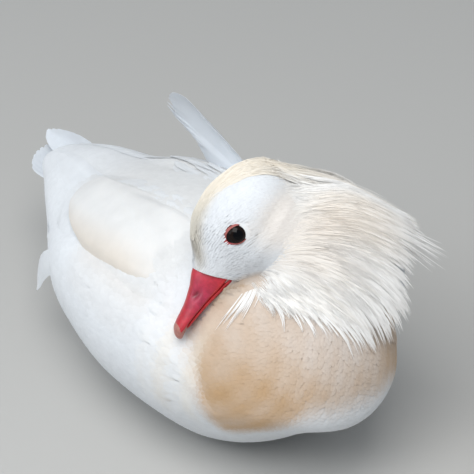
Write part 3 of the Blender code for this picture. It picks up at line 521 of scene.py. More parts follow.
def footRoom(points):
    # how high the belly stays over the feet
    x, y, _ = (points / mm).T
    near = np.hypot((x + 12) / 38, (np.abs(y) - 15) / 13)
    return skin["footRoom"] * mm * smooth(1.25 - near, 0, 0.35)


def makeSkin():
    pieces = [
        loftBody("skinTorso", torso, 40, 48), loftBody("skinNeck", neck, 12, 32),
        loftBody("skinHead", head, 24, 32),
    ]
    joined = bmesh.new()
    for piece in pieces:
        joined.from_mesh(piece.data)
        bpy.data.objects.remove(piece)
    mesh = bpy.data.meshes.new("skin")
    joined.to_mesh(mesh)
    joined.free()
    obj = bpy.data.objects.new("skin", mesh)
    bpy.context.scene.collection.objects.link(obj)
    remesh = obj.modifiers.new("even", "REMESH")
    remesh.mode = "VOXEL"
    remesh.voxel_size = skin["voxel"] * mm
    graph = bpy.context.evaluated_depsgraph_get()
    made = bpy.data.meshes.new_from_object(obj.evaluated_get(graph))
    obj.modifiers.clear()
    obj.data = made
    points = pointsOf(made)
    onHead = smooth(-outside(points, head), -4 * mm, 0 * mm)
    depth = (skin["depth"] * (1 - onHead) + skin["headDepth"] * onHead) * mm
    points, _ = settled(points, -depth, rounds=5)
    beyond = np.maximum((inHead(points) / mm) @ billRoot["normal"] - billRoot["skin"], 0)
    beyond *= smooth(outside(points, torso), 0, 2 * mm) * smooth(-outside(points, head), -3 * mm, -1 * mm)
    points -= beyond[:, None] * mm * (billRoot["normal"] @ headAxes)
    points[:, 2] = np.maximum(points[:, 2], 0.3 * mm + footRoom(points))
    movePoints(made, points)
    made.shade_smooth()
    setTint(obj, markingsAndShade(points) * 0.93)
    dress(obj, skinFeather, "plumage", "torso", "neck", "head", "flank_left", "flank_right")


makeSkin()
print("skin done")

# feathers: each a thin closed blade with a raised middle
bladeRings = {
    "round": (np.array([0, 0.4, 0.75, 0.93]), np.array([0.6, 1.0, 0.95, 0.55])),
    "pointed": (np.array([0, 0.35, 0.7, 0.9]), np.array([0.7, 1.0, 0.75, 0.35])),
    "hair": (np.array([0, 0.14, 0.3, 0.46, 0.62, 0.78, 0.9]), np.array([0.7, 1, 1, 0.86, 0.66, 0.42, 0.22])),
    "spike": (np.array([0, 0.14, 0.3, 0.46, 0.62, 0.78, 0.9]), np.array([0.5, 0.8, 1, 1, 0.95, 0.75, 0.42])),
}


def blades(name, paths, ways, widths, thick, profile, tint, place, uneven=0.0, rng=None, cup=0.0):
    # for each path: triangles of left edge, raised middle and right edge, run along it to a point
    count, steps = paths.shape[:2]
    rings = steps - 1
    share, shape = bladeRings[profile]
    along = unit(np.gradient(paths, axis=1))
    side = unit(np.cross(along, ways))
    half = widths[:, None, None] / 2 * shape[None, :, None]
    centre, across, up = paths[:, :-1], side[:, :-1], ways[:, :-1]
    fat = thick * np.ones((count, 1, 1))
    droop = up * half * cup
    left = centre - across * half - droop
    right = centre + across * half - droop
    middle = centre + up * fat
    ring = np.stack([left, middle, right], axis=2)
    points = np.concatenate([ring.reshape(count, rings * 3, 3), paths[:, -1:]], axis=1)
    size = rings * 3 + 1
    i = np.arange(rings - 1)[:, None] * 3
    j = np.arange(3)[None, :]
    k = (j + 1) % 3
    quads = np.stack([i + j, i + k, i + 3 + k, i + 3 + j], -1).reshape(-1, 4)
    last = (rings - 1) * 3
    tris = np.array([
        (last, last + 1, size - 1), (last + 1, last + 2, size - 1), (last + 2, last, size - 1), (2, 1, 0),
    ])
    base = np.arange(count)[:, None, None] * size
    quads = (base + quads[None]).reshape(-1, 4)
    tris = (base + tris[None]).reshape(-1, 3)
    points = points.reshape(-1, 3)
    points[:, 2] = np.maximum(points[:, 2], 0.25 * mm)
    obj = newMesh(name, points, quads[:, ::-1], tris[:, ::-1], 60)
    each = np.repeat(tint[:, None], steps, axis=1) if tint.ndim == 2 else tint
    if uneven and rng is not None:
        each = each * (1 - uneven * rng.random((count, 1, 1)))
    setTint(obj, np.concatenate([np.repeat(each[:, :-1], 3, axis=1), each[:, -1:]], axis=1).reshape(-1, 3))
    u = np.concatenate([np.tile([0, 0.5, 1], rings), [0.5]])
    v = np.concatenate([np.repeat(share, 3), [1.0]])
    uv = np.stack([u, v], -1)
    setUv(obj, "OFBake", (place[:, None, :] + 0.003 * (uv[None] - 0.5)).reshape(-1, 2))
    setUv(obj, "vane", np.tile(uv, (count, 1)))
    obj.data.uv_layers["OFBake"].active_render = True
    return obj


def scatter(loft, spacing, rng, low=None, high=None):
    # roots over a loft in staggered rows, a spacing apart along and around, a little shaken
    ends = loft["table"][:, 0]
    low = ends.min() if low is None else low * mm
    high = ends.max() if high is None else high * mm
    fine = np.linspace(low, high, 400)
    width, _, rise, drop = section(loft, fine)
    radius = (width + (rise + drop) / 2) / 2
    run = np.concatenate([[0], np.cumsum(np.hypot(np.diff(fine), np.diff(radius)))])
    rows = np.arange(spacing * mm / 2, run[-1], spacing * mm * 0.87)
    found = []
    for n, at in enumerate(rows):
        s = np.interp(at, run, fine)
        around = max(3, int(round(2 * math.pi * np.interp(at, run, radius) / (spacing * mm))))
        angle = (np.arange(around) + 0.5 * (n % 2)) / around * 2 * math.pi
        found.append(np.stack([np.full(around, s), angle], 1))
    found = np.concatenate(found)
    found[:, 0] += rng.normal(0, 0.16 * spacing * mm, len(found))
    found[:, 1] += rng.normal(0, 0.16, len(found)) * spacing * mm / (20 * mm)
    found[:, 0] = np.clip(found[:, 0], low, high)
    return found


def torsoFlow(points):
    # back and a little down over back and sides, down and out over the breast
    x, y, z = (points / mm).T
    front = smooth(x, 48, 96)
    flow = np.stack([-1 + 0.8 * front, 0.35 * front * y / 50, -0.10 - 0.95 * front], 1)
    flow[:, 2] += 0.25 * smooth(-x, 60, 130) * np.sign(58 - z)
    flow[:, 1] -= 0.3 * smooth(-x, 60, 130) * y / 40
    return flow


def headFlow(points):
    # from the bill back over the head and down the neck
    a, b, c = (inHead(points) / mm).T
    turn = smooth(-a, -2, 30)
    local = np.stack([-1 + 0.6 * turn, 0.15 * b / 18, -0.25 - 1.0 * turn - 0.25 * smooth(-c, 0, 14)], 1)
    return local @ headAxes


def neckFlow(points):
    return np.tile(-headAxes[2], (len(points), 1))


def contourCoat(name, loft, flow, plan, keep, seed):
    # small overlapping feathers rooted over one loft and laid along the flow
    rng = np.random.default_rng(seed)
    spots = scatter(loft, plan["spacing"], rng, plan.get("low"), plan.get("high"))
    roots = loftPoint(loft, spots[:, 0], spots[:, 1])
    roots, ways = settled(roots, plan["root"] * mm, rounds=3)
    others = [other for other in body if other is not loft]
    clear = np.min([outside(roots, other) for other in others], axis=0) > -0.5 * mm
    clear &= keep(roots)
    roots, ways, spots = roots[clear], ways[clear], spots[clear]
    flowing = flow(roots)
    flowing = flowing + rng.normal(0, plan["stray"], flowing.shape)
    along = unit(flowing - ways * np.sum(flowing * ways, axis=1)[:, None])
    scale = plan["size"](roots) if "size" in plan else np.ones(len(roots))
    length = plan["length"] * mm * scale * rng.uniform(0.85, 1.15, len(roots))
    share = np.append(bladeRings[plan["profile"]][0], 1.0)
    paths = roots[:, None] + along[:, None] * length[:, None, None] * share[None, :, None]
    rise = plan["root"] + (plan["tip"] - plan["root"]) * share ** 0.8
    high = (rise[None, :] + rng.uniform(-0.12, 0.3, (len(roots), 1)) * share[None, :] * plan["loose"]) * mm
    paths, ways = settled(paths, high, rounds=3)
    if loft is torso:
        flat = paths.reshape(-1, 3)
        fromBill = np.min([outside(flat, part) for part in bill], axis=0)
        free = fromBill.reshape(len(paths), -1).min(1) > 1.1 * mm
        paths, ways, roots, spots, scale = (v[free] for v in (paths, ways, roots, spots, scale))
    low, high = loft["table"][:, 0].min(), loft["table"][:, 0].max()
    place = np.stack([(spots[:, 1] / (2 * math.pi)) % 1, (spots[:, 0] - low) / (high - low)], 1)
    obj = blades(name, paths, ways, plan["width"] * mm * scale, plan["thick"] * mm, plan["profile"],
                 markingsAndShade(roots), place * 0.99 + 0.005, plan["uneven"], rng, plan["cup"])
    dress(obj, feather, "plumage")
    print(name, len(roots), "feathers")


def bodySize(points):
    # feathers are smaller towards the neck and longer towards the tail
    x, _, z = (points / mm).T
    return 1.0 - 0.3 * smooth(x, 40, 100) * smooth(z, 50, 100) + 0.35 * smooth(-x, 20, 120)


bodyCoat = {
    "spacing": 1.95, "length": 8.0, "width": 3.1, "root": -0.45, "tip": 0.32, "thick": 0.05, "stray": 0.04,
    "loose": 0.15, "profile": "round", "uneven": 0.04, "size": bodySize, "cup": 0.02,
}
breastCoat = dict(bodyCoat, spacing=1.5, length=5.6, width=2.6, root=-0.35, tip=0.17, loose=0.08, low=50)
# the torso's coat in five pieces: the breast, then back, two sides and belly behind it
breastFrom, backFrom, bellyUpTo, breastDownTo, floorGap = 52 * mm, 76 * mm, 26 * mm, 8 * mm, 1.5 * mm


def onBreast(p):
    return (p[:, 0] > breastFrom) & (p[:, 2] > breastDownTo)


def onBack(p):
    return (p[:, 2] > backFrom) & (p[:, 0] <= breastFrom)


def onSide(p):
    return (p[:, 2] <= backFrom) & (p[:, 2] > bellyUpTo) & (p[:, 0] <= breastFrom)


def onBelly(p):
    behind = (p[:, 0] <= breastFrom) | (p[:, 2] <= breastDownTo)
    return (p[:, 2] <= bellyUpTo) & (p[:, 2] > floorGap) & behind


contourCoat("coatBreast", torso, torsoFlow, breastCoat, onBreast, 10)
contourCoat("coatBack", torso, torsoFlow, bodyCoat, onBack, 11)
contourCoat("coatLeft", torso, torsoFlow, bodyCoat, lambda p: onSide(p) & (p[:, 1] > 0), 12)
contourCoat("coatRight", torso, torsoFlow, bodyCoat, lambda p: onSide(p) & (p[:, 1] <= 0), 13)
contourCoat("coatBelly", torso, torsoFlow, bodyCoat, onBelly, 14)


def awayFromFace(points):
    # not on the bill's root or on the eyes
    a, b, c = (inHead(points) / mm).T
    offBill = (a * billRoot["normal"][0] + c * billRoot["normal"][2]) < billRoot["coat"]
    offEye = np.hypot((a - 0.9) / 6.7, (c - 0.7) / 5.5) > 1
    return offBill & (offEye | (np.abs(b) < 8))


def faceSize(points):
    # feathers grow longer from the bill to the nape
    a, _, _ = (inHead(points) / mm).T
    return 0.55 + 0.6 * smooth(-a, -20, 25)


headCoat = {
    "spacing": 1.0, "length": 5.0, "width": 1.2, "root": -0.3, "tip": 0.15, "thick": 0.03, "stray": 0.03,
    "loose": 0.12, "profile": "pointed", "uneven": 0.04, "size": faceSize, "cup": 0.05,
}
contourCoat("coatHead", head, headFlow, headCoat, awayFromFace, 21)
neckCoat = {
    "spacing": 2.0, "length": 12, "width": 2.4, "root": -0.9, "tip": 0.5, "thick": 0.1, "stray": 0.05,
    "loose": 0.5, "profile": "pointed", "uneven": 0.05, "cup": 0.05,
}


def belowHead(points):
    # on the neck and not beside the cheek, where whiskers grow
    a, b, _ = (inHead(points) / mm).T
    return (points[:, 2] > 60 * mm) & ((outside(points, head) > 9 * mm) | (a < -34) | (b < -6))


contourCoat("coatNeck", neck, neckFlow, neckCoat, belowHead, 22)


def markRoot(spread, along):
    # the place of a long feather on the unwrap, from two shares
    return np.stack([0.02 + 0.96 * spread, 0.02 + 0.96 * along], 1)


# whiskers: long feathers that fan from each cheek. Each line runs from its root to the fan's edge, in mm
# ahead, out and up of the middle of the head, and the lines go from the chin round to the nape
whiskerLines = np.array([
    [(17, 6, -22), (22, 8, -27), (28, 8, -30), (35, 7, -32)],
    [(16, 11, -20), (17, 14, -27), (20, 15, -35), (26, 15, -43)],
    [(11, 14, -21), (11, 17, -30), (14, 19, -43), (22, 20, -58)],
    [(7, 15, -21), (4, 19, -34), (7, 22, -53), (16, 22, -73)],
    [(3, 16, -21), (-5, 21, -37), (-6, 25, -60), (4, 25, -83)],
    [(-2, 17, -21), (-14, 22, -36), (-19, 26, -60), (-13, 25, -85)],
    [(-8, 17, -19), (-23, 22, -31), (-31, 25, -53), (-30, 22, -75)],
    [(-14, 16, -18), (-32, 20, -28), (-40, 22, -48), (-42, 19, -72)],
    [(-22, 14, -12), (-38, 16, -22), (-45, 17, -43), (-47, 14, -70)],
    [(-29, 9, -2), (-43, 10, -18), (-47, 10, -40), (-50, 7, -65)],
    [(-25, 12, 4), (-38, 11, -9), (-45, 8, -28), (-50, 5, -54)],
], float)


def whiskerPoint(share, s, side):
    # the four points blended between neighbouring lines, and the cubic through them at s, straight past 1
    place = share * (len(whiskerLines) - 1)
    i = np.clip(place.astype(int), 0, len(whiskerLines) - 2)
    f = np.clip(place - i, 0, 1)[..., None, None]
    f = f * f * (3 - 2 * f) * 0.5 + f * 0.5
    knots = whiskerLines[i] * (1 - f) + whiskerLines[i + 1] * f

    def weights(s):
        return np.stack([
            -4.5 * (s - 1 / 3) * (s - 2 / 3) * (s - 1), 13.5 * s * (s - 2 / 3) * (s - 1),
            -13.5 * s * (s - 1 / 3) * (s - 1), 4.5 * s * (s - 1 / 3) * (s - 2 / 3),
        ], axis=-1)

    inner = np.minimum(s, 1)
    slope = (weights(np.ones_like(s)) - weights(np.full_like(s, 0.95))) / 0.05
    weight = weights(inner) + slope * (s - inner)[..., None]
    return np.einsum("...k,...kd->...d", weight, knots) * (1, side, 1)


def whiskerTint(share, s):
    # peach over the cheek, white out in the fan, beige in its upper part and white again beside the crest
    base = np.ones(share.shape + (3,)) * tones["pure"]
    cheek = smooth(share, 0.24, 0.5) * smooth(0.8 - share, 0, 0.12) * smooth(0.78 - s, 0, 0.55)
    beige = (smooth(share, 0.52, 0.67) * smooth(0.88 - share, 0, 0.08)
             * smooth(s, 0.1, 0.4) * smooth(1.02 - s, 0, 0.4))
    for tone, part in (("cheek", 0.5 * cheek), ("beige", 0.4 * beige)):
        base = base * (1 - part[..., None]) + tones[tone] * part[..., None]
    return base


def makeWhiskers(name, side, plan, seed):
    # strands in groups, each group drawn together towards its middle line and laid over the body
    rng = np.random.default_rng(seed)
    groups, each = plan["groups"], plan["each"]
    middle = plan["first"] + (plan["last"] - plan["first"]) * rng.random(groups) ** plan["chin"]
    long = rng.random(groups) < plan["long"]
    end = np.where(long, plan["most"] - plan["ragged"] * rng.random(groups) ** 1.6, 0)
    start = np.where(long, end - rng.uniform(0.45, 0.8, groups), 0.5 * rng.random(groups) ** 0.8)
    end = np.where(long, end, start + rng.uniform(0.3, 0.5, groups))
    middle, start, end = (np.repeat(v, each) for v in (middle, start, end))
    count = groups * each
    share = np.clip(middle + rng.normal(0, plan["spread"], count), plan["first"], 1)
    start = np.clip(start + rng.normal(0, 0.035, count), 0, 0.8)
    end = np.clip(end - 0.07 * rng.random(count) ** 2, start + 0.15, plan["most"]) * plan["reach"]
    t = np.append(bladeRings["hair"][0], 1.0)[None, :]
    s = start[:, None] * plan["reach"] + (end - start * plan["reach"])[:, None] * t
    drawn = plan["drawn"] * t ** 1.2
    line = share[:, None] * (1 - drawn) + middle[:, None] * drawn
    local = whiskerPoint(line, s, side)
    loose = rng.uniform(0, 1, (count, 1)) * plan["loose"]
    local[..., 1] += side * ((loose - 0.3 + plan["above"]) * (0.25 + 0.75 * t) + 0.9 * t)
    local += rng.normal(0, 1, (count, 1, 3)) * plan["stray"] * t[..., None] ** 1.6
    paths = headPoint(local * mm)
    over = -0.05 + (0.25 + 0.75 * smooth(s, 0.0, 0.4)) * (loose * (0.15 + 0.85 * t) + 0.6 * t + 0.3)
    over = over + plan["over"] * np.clip((44 * mm - paths[..., 0]) / (12 * mm), 0, 1)
    flat, _ = settled(paths, over * mm)
    high, ways = lifted(paths, over * mm)
    free = smooth(s, 0.08, 0.55)[..., None] * (1 - plan["close"])
    paths = flat * (1 - free) + high * free
    wide = (plan["width"] * mm * (0.45 + 0.55 * smooth(start, 0, 0.35))
            * (0.6 + 0.4 * smooth(share, 0.1, 0.4)))
    wide = wide * rng.uniform(0.75, 1.2, count)
    # the under factor paints the broad locks a little darker and warmer than the fine strands, as painted
    # shade beneath them
    tint = whiskerTint(line, s) * np.array(plan["under"])
    obj = blades(name, paths, ways, wide, plan["thick"] * mm, plan["profile"], tint,
                 markRoot(share, start), plan["uneven"], rng, 0.1)
    dress(obj, hairFeather, "crest", *plan["nodes"])
    print(name, count, "whiskers")


whiskers = {
    "groups": 260, "each": 5, "first": 0.12, "last": 0.95, "long": 0.45, "most": 0.91, "ragged": 0.22,
    "reach": 1.0, "width": 1.15, "thick": 0.1, "spread": 0.014, "loose": 1.0, "above": 0.0, "close": 0.0,
    "stray": 0.35, "over": 5.0, "under": (0.98, 0.965, 0.94), "uneven": 0.07, "profile": "hair",
    "drawn": 0.93, "chin": 0.65, "nodes": ["ruff_left"],
}
fineWhiskers = dict(whiskers, groups=640, each=7, first=0.05, width=0.4, drawn=0.8, thick=0.09, spread=0.018,
                    loose=0.8, above=0.6, stray=0.4, under=(1, 1, 1), uneven=0.05, nodes=[])
spikes = dict(whiskers, groups=210, each=4, long=1.0, most=1.04, ragged=0.16, width=0.8, spread=0.010,
              loose=0.8, above=0.9, stray=0.3, under=(1, 1, 1), uneven=0.04, profile="spike", nodes=[])
innerWhiskers = dict(whiskers, groups=150, each=6, first=0.3, long=0.7, most=0.98, close=0.85, loose=1.4,
                     nodes=[])
wisps = dict(spikes, groups=9, each=3, first=0.6, last=0.78, most=1.24, ragged=0.14, width=0.55, stray=1.4)
makeWhiskers("whiskersLeft", 1, whiskers, 31)
makeWhiskers("whiskersLeftFine", 1, fineWhiskers, 32)
makeWhiskers("whiskersLeftSpikes", 1, spikes, 35)
makeWhiskers("whiskersLeftInner", 1, innerWhiskers, 37)
makeWhiskers("whiskersLeftWisps", 1, wisps, 36)
farWhiskers = dict(whiskers, groups=110, reach=0.78, over=4.0, nodes=["ruff_right"])
farFine = dict(farWhiskers, groups=160, each=9, width=0.5, above=0.7, nodes=[])
makeWhiskers("whiskersRight", -1, farWhiskers, 33)
makeWhiskers("whiskersRightFine", -1, farFine, 34)

# chin: a few long thin strands that hang over the breast beside the bill
chinWisps = {
    "count": 26, "width": 0.4, "thick": 0.1, "high": 0.9, "roots": ((22, 7, -22), (15, 9, -26)),
    "ends": ((47, 6, -23), (31, 9, -37)),
}


def makeChinWisps():
    # each a bend from its root to its end, both drawn from between the two given ones
    rng = np.random.default_rng(38)
    count = chinWisps["count"]
    share = np.round(rng.random((count, 1, 1)) * 4) / 4 + rng.normal(0, 0.05, (count, 1, 1))
    bounds = np.array([chinWisps["roots"], chinWisps["ends"]], float)
    start, end = (low + (high - low) * share for low, high in bounds)
    end = start + (end - start) * rng.uniform(0.55, 1, (count, 1, 1))
    t = np.append(bladeRings["spike"][0], 1.0)[None, :, None]
    local = start + (end - start) * t + np.array([0, 0, -4.0]) * t * (1 - t)
    high = 0.2 + chinWisps["high"] * t[..., 0] * rng.uniform(0.5, 1, (count, 1))
    paths, ways = settled(headPoint(local * mm), high * mm)
    tint = np.ones(paths.shape) * tones["pure"]
    wide = chinWisps["width"] * mm * rng.uniform(0.75, 1.2, count)
    obj = blades("whiskersChin", paths, ways, wide, chinWisps["thick"] * mm, "spike", tint,
                 markRoot(rng.random(count), rng.random(count)), 0.04, rng, 0.1)
    dress(obj, hairFeather, "crest")


makeChinWisps()

# crest: from the forehead over the crown and down the nape
crestLine = np.array([(15, 12.5), (-2, 18.2), (-20, 15), (-32, 3), (-40, -15), (-45, -37), (-47, -64)])


def makeCrest(name, plan, seed):
    # strands in groups along the crest's line, turned up to 60 degrees to each side of it
    rng = np.random.default_rng(seed)
    groups, each = plan["groups"], plan["each"]
    middle = rng.uniform(-58, 58, groups)
    start = rng.uniform(0.0, 0.62, groups)
    middle, start = (np.repeat(v, each) for v in (middle, start))
    count = groups * each
    room = 0.5 + 0.5 * smooth(start, 0, 0.35)
    middle = middle * room
    turn = np.clip(middle + rng.normal(0, 5, count), -60, 60)
    start = np.clip(start + rng.normal(0, 0.03, count), 0, 0.7)
    length = (0.16 + 0.42 * smooth(start, 0, 0.35)) * rng.uniform(0.8, 1.1, count)
    reach = np.clip(start + length, 0, 1.06) * (1 - 0.13 * (turn / 58) ** 2)
    t = np.append(bladeRings["hair"][0], 1.0)[None, :]
    s = start[:, None] + (reach - start)[:, None] * t
    drawn = 0.8 * t ** 1.3
    rad = np.radians(turn[:, None] * (1 - drawn) + middle[:, None] * drawn)
    knots = np.linspace(0, 1, len(crestLine))
    a = eased(np.clip(s, 0, 1), knots, crestLine[:, 0])
    c = eased(np.clip(s, 0, 1), knots, crestLine[:, 1]) - 24 * 6 * np.maximum(s - 1, 0)
    wide = 13 * (0.5 + 0.7 * s)
    paths = headPoint(np.stack([a, np.sin(rad) * wide, c - (1 - np.cos(rad)) * wide * 0.9], -1) * mm)
    paths += rng.normal(0, 1, (count, 1, 3)) * plan["stray"] * mm * t[..., None] ** 1.6
    high = rng.uniform(0.1, plan["deep"], (count, 1)) * (0.08 + 0.92 * smooth(s, 0.15, 0.6))
    high = high + 0.3 * t - 0.15
    flat, _ = settled(paths, high * mm)
    paths, ways = lifted(paths, high * mm)
    free = smooth(s - 0.3 * np.abs(rad), 0.22, 0.5)[..., None]
    paths = flat * (1 - free) + paths * free
    centre = smooth(1 - np.abs(np.degrees(rad)) / 60, 0.0, 0.55)
    share = (0.95 - 0.5 * smooth(s, 0.5, 0.85)) * np.maximum(centre, smooth(0.62 - s, 0, 0.2))
    # the crest's front painted darker, as painted shade, turning to cream further back
    band = tones["ashShade"] + (tones["cream"] - tones["ashShade"]) * smooth(s, 0.05, 0.3)[..., None]
    tone = tones["pure"] * (1 - share[..., None]) + band * share[..., None]
    fine = plan["width"] * mm * (0.45 + 0.55 * smooth(start, 0, 0.3)) * rng.uniform(0.75, 1.2, count)
    obj = blades(name, paths, ways, fine, plan["thick"] * mm, "hair", tone,
                 markRoot((turn + 60) / 120, start / 0.7), 0.06, rng, 0.1)
    dress(obj, hairFeather, "crest", *plan["nodes"])
    print(name, count, "crest feathers")


crest = {"groups": 150, "each": 6, "stray": 0.6, "deep": 1.2, "width": 1.9, "thick": 0.12, "nodes": ["crest"]}
makeCrest("crestLocks", crest, 41)
crestFine = dict(crest, groups=180, each=9, stray=1.3, deep=1.9, width=0.5, thick=0.1, nodes=[])
makeCrest("crestFine", crestFine, 42)


def wideVanes(name, paths, ways, widths, plan, tints, nodes):
    # wide feathers of wings and tail, each a cambered closed vane with a quill down its middle
    # eight points round each ring: five over the top from edge to edge and three below
    paths, ways, widths = np.array(paths), np.array(ways), np.array(widths)
    count, steps = paths.shape[:2]
    along = unit(np.gradient(paths, axis=1))
    side = unit(np.cross(along, ways))
    t = np.linspace(0, 1, steps)
    shape = np.interp(t, *np.array(plan["outline"]).T)
    half = widths[:, None, None] / 2 * shape[None, :, None]
    across = np.array([-1, -0.55, 0, 0.55, 1, 0.55, 0, -0.55])
    fat = plan["thick"] * mm
    over = np.array([0, fat, fat + plan["quill"] * mm, fat, 0, -fat * 0.4, -fat * 0.4, -fat * 0.4])
    camber = -plan["camber"] * across ** 2
    rings = (paths[:, :, None] + side[:, :, None] * half[:, :, None] * across[None, None, :, None]
             + ways[:, :, None] * (over[None, None, :, None]
                                   + half[:, :, None] * camber[None, None, :, None]))
    points = np.concatenate([rings.reshape(count, steps * 8, 3), paths[:, :1], paths[:, -1:]], axis=1)
    size = steps * 8 + 2
    quads = gridFaces(steps, 8)
    j, k = np.arange(8), (np.arange(8) + 1) % 8
    tris = np.concatenate([
        np.stack([np.full(8, size - 2), k, j], -1),
        np.stack([np.full(8, size - 1), (steps - 1) * 8 + j, (steps - 1) * 8 + k], -1),
    ])
    base = np.arange(count)[:, None, None] * size
    quads = (base + quads[None]).reshape(-1, 4)
    tris = (base + tris[None]).reshape(-1, 3)
    obj = facingOut(newMesh(name, points.reshape(-1, 3), quads, tris, 60))
    ring = np.repeat(np.append(t, [0, 1]), np.append(np.full(steps, 8), [1, 1]))
    # each vane painted a little darker at its root and lighter at its tip, as painted shade where it lies
    # covered
    rootShaded = np.array(tints)[:, None, :] * (1 + plan["rootShade"] * (ring[None, :, None] - 0.5))
    setTint(obj, rootShaded.reshape(-1, 3).clip(0, 0.95))
    u = np.concatenate([np.tile((across + 1) / 2, steps), [0.5, 0.5]])
    setUv(obj, "vane", np.tile(np.stack([u, ring], -1), (count, 1)))
    dress(obj, wideFeather, "plumage", *nodes)
    print(name, count, "vanes")


def overTorso(x, angle, side, height):
    # a point that far over the torso, at x and an angle from the middle of the back down one side
    x, angle, height = np.broadcast_arrays(*(np.asarray(value, float) for value in (x, angle, height)))
    points = loftPoint(torso, x * mm, side * np.radians(angle))
    flat = points.reshape(-1, 3)
    _, way = heightOver(flat, [torso], lift=False)
    way = unit(way).reshape(points.shape)
    return points + way * height[..., None] * mm, way


# rows of wing feathers: x of the first and last row's roots, angles down the side, and share of the warm tone
wingTiers = [
    {"name": "scapulars", "root": (34, -34), "length": 30, "width": 10, "angles": (10, 50), "rows": 6,
     "columns": 8, "lift": 0.2, "share": 0.35},
    {"name": "coverts", "root": (30, -26), "length": 30, "width": 9, "angles": (36, 68), "rows": 5,
     "columns": 7, "lift": 0.35, "share": 0.25},
    {"name": "secondaries", "root": (-24, -48), "length": 50, "width": 12, "angles": (24, 58), "rows": 2,
     "columns": 8, "lift": 0.2, "share": 0.2},
]
roundOutline = [(0, 0.5), (0.15, 0.8), (0.4, 1), (0.7, 1), (0.86, 0.8), (0.95, 0.5), (1, 0.15)]
longOutline = [(0, 0.5), (0.2, 0.85), (0.5, 1), (0.75, 0.9), (0.9, 0.62), (1, 0.12)]
vanePlan = {"outline": roundOutline, "thick": 0.1, "quill": 0.35, "camber": 0.06, "rootShade": 0.04}
# each primary: x of its tip, and the angles down the side of its tip and of its root
primaryTable = [
    (-141, 26, 24), (-138, 30, 29), (-133, 35, 35), (-127, 41, 42), (-120, 48, 49), (-113, 56, 56),
]
primaryRoot = -52
droopedPath = [(-44, 50.5, 76), (-56, 52.5, 69), (-70, 53, 60), (-83, 51, 49), (-92, 48.5, 36), (-97, 47, 26)]


def makeWing(side, label):
    rng = np.random.default_rng(50 + side)
    t = np.linspace(0, 1, 12)
    for tier in wingTiers:
        paths, ways, widths, tints = [], [], [], []
        for row in range(tier["rows"]):
            share = row / max(tier["rows"] - 1, 1)
            rootX = tier["root"][0] + (tier["root"][1] - tier["root"][0]) * share
            for n in range(tier["columns"]):
                across = (n + 0.5 * (row % 2)) / tier["columns"]
                angle = tier["angles"][0] + (tier["angles"][1] - tier["angles"][0]) * across
                length = tier["length"] * rng.uniform(0.92, 1.08)
                x = rootX - length * t + rng.normal(0, 1.2)
                turned = angle + 1.5 * t + rng.normal(0, 0.6)
                under, _ = overTorso(x, turned, side, 0.0)
                high = sideLift(under) / mm + tier["lift"] + (-1.4 + 1.5 * t) + 0.07 * (row % 2) - 0.01 * n
                if side < 0:
                    high = high - 2.2 * smooth(-x, -24, -8) * smooth(turned, 16, 24)
                path, way = overTorso(x, turned, side, high)
                paths.append(path)
                ways.append(way)
                widths.append(tier["width"] * mm * rng.uniform(0.92, 1.08))
                tone = mixed(tones["white"][None], "warm", np.array([tier["share"]]))[0]
                tints.append(tone * rng.uniform(0.95, 1))
        wideVanes(tier["name"] + label, paths, ways, widths, vanePlan, tints,
                  ["wing_" + label.lower()] if tier["name"] == "coverts" else [])
    paths, ways = [], []
    for i, (tip, tipAngle, rootAngle) in enumerate(primaryTable):
        x = primaryRoot + (tip - primaryRoot) * t
        angle = rootAngle + (tipAngle - rootAngle) * t ** 1.4
        path, way = overTorso(x, angle, side, 0.12 * (6 - i) - 0.25 * t - 0.1)
        paths.append(path)
        ways.append(way)
    wideVanes("primaries" + label, paths, ways, [11 * mm] * len(paths), dict(vanePlan, outline=longOutline),
              [tones["white"]] * len(paths), [])


def makeDrooped():
    # the one primary that hangs out below the right wing
    t = np.linspace(0, 1, 14)
    knots = np.array(droopedPath) * (1, -1, 1) * mm
    path = np.stack([eased(t * 5, np.arange(6.0), knots[:, k]) for k in range(3)], 1)
    _, way = heightOver(path, [torso], lift=False)
    outline = [(0, 0.6), (0.3, 1), (0.6, 0.95), (0.85, 0.55), (1, 0.1)]
    wideVanes("droopedPrimary", [path], [unit(way)], [13 * mm], dict(vanePlan, outline=outline),
              [tones["white"]], [])


makeWing(1, "Left")
makeWing(-1, "Right")
makeDrooped()


def sheetBody(name, points, ways, thick, sharp=60):
    # a closed sheet through a grid of points, half the thickness to each side, joined round its rim
    rows, columns = points.shape[:2]
    half = ways * (thick * np.ones((rows, columns)))[..., None] / 2
    both = np.concatenate([(points + half).reshape(-1, 3), (points - half).reshape(-1, 3)])
    top = gridFaces(rows, columns, False)
    under = top[:, ::-1] + rows * columns
    rim = np.concatenate([
        np.arange(rows) * columns, (rows - 1) * columns + np.arange(1, columns),
        np.arange(rows - 2, -1, -1) * columns + columns - 1, np.arange(columns - 2, 0, -1),
    ])
    follow = np.roll(rim, -1)
    edge = np.stack([rim, follow, follow + rows * columns, rim + rows * columns], 1)
    return facingOut(newMesh(name, both, np.concatenate([top, under, edge]), None, sharp))


def finishSheet(obj, uv, tint, replaced):
    # map and colour, the same on both sides of a sheet
    setUv(obj, "vane", np.concatenate([uv.reshape(-1, 2)] * 2))
    setTint(obj, np.concatenate([tint.reshape(-1, 3)] * 2))
    dress(obj, wideFeather, "plumage", replaced)


# the two sails, the broad inner feather of each wing: the raised one's edge as x and z
sailEdge = np.array([
    (-2, 104), (-21, 119), (-41, 126), (-60, 133), (-72, 130), (-81, 118), (-74, 113), (-60, 106), (-54, 98),
], float)


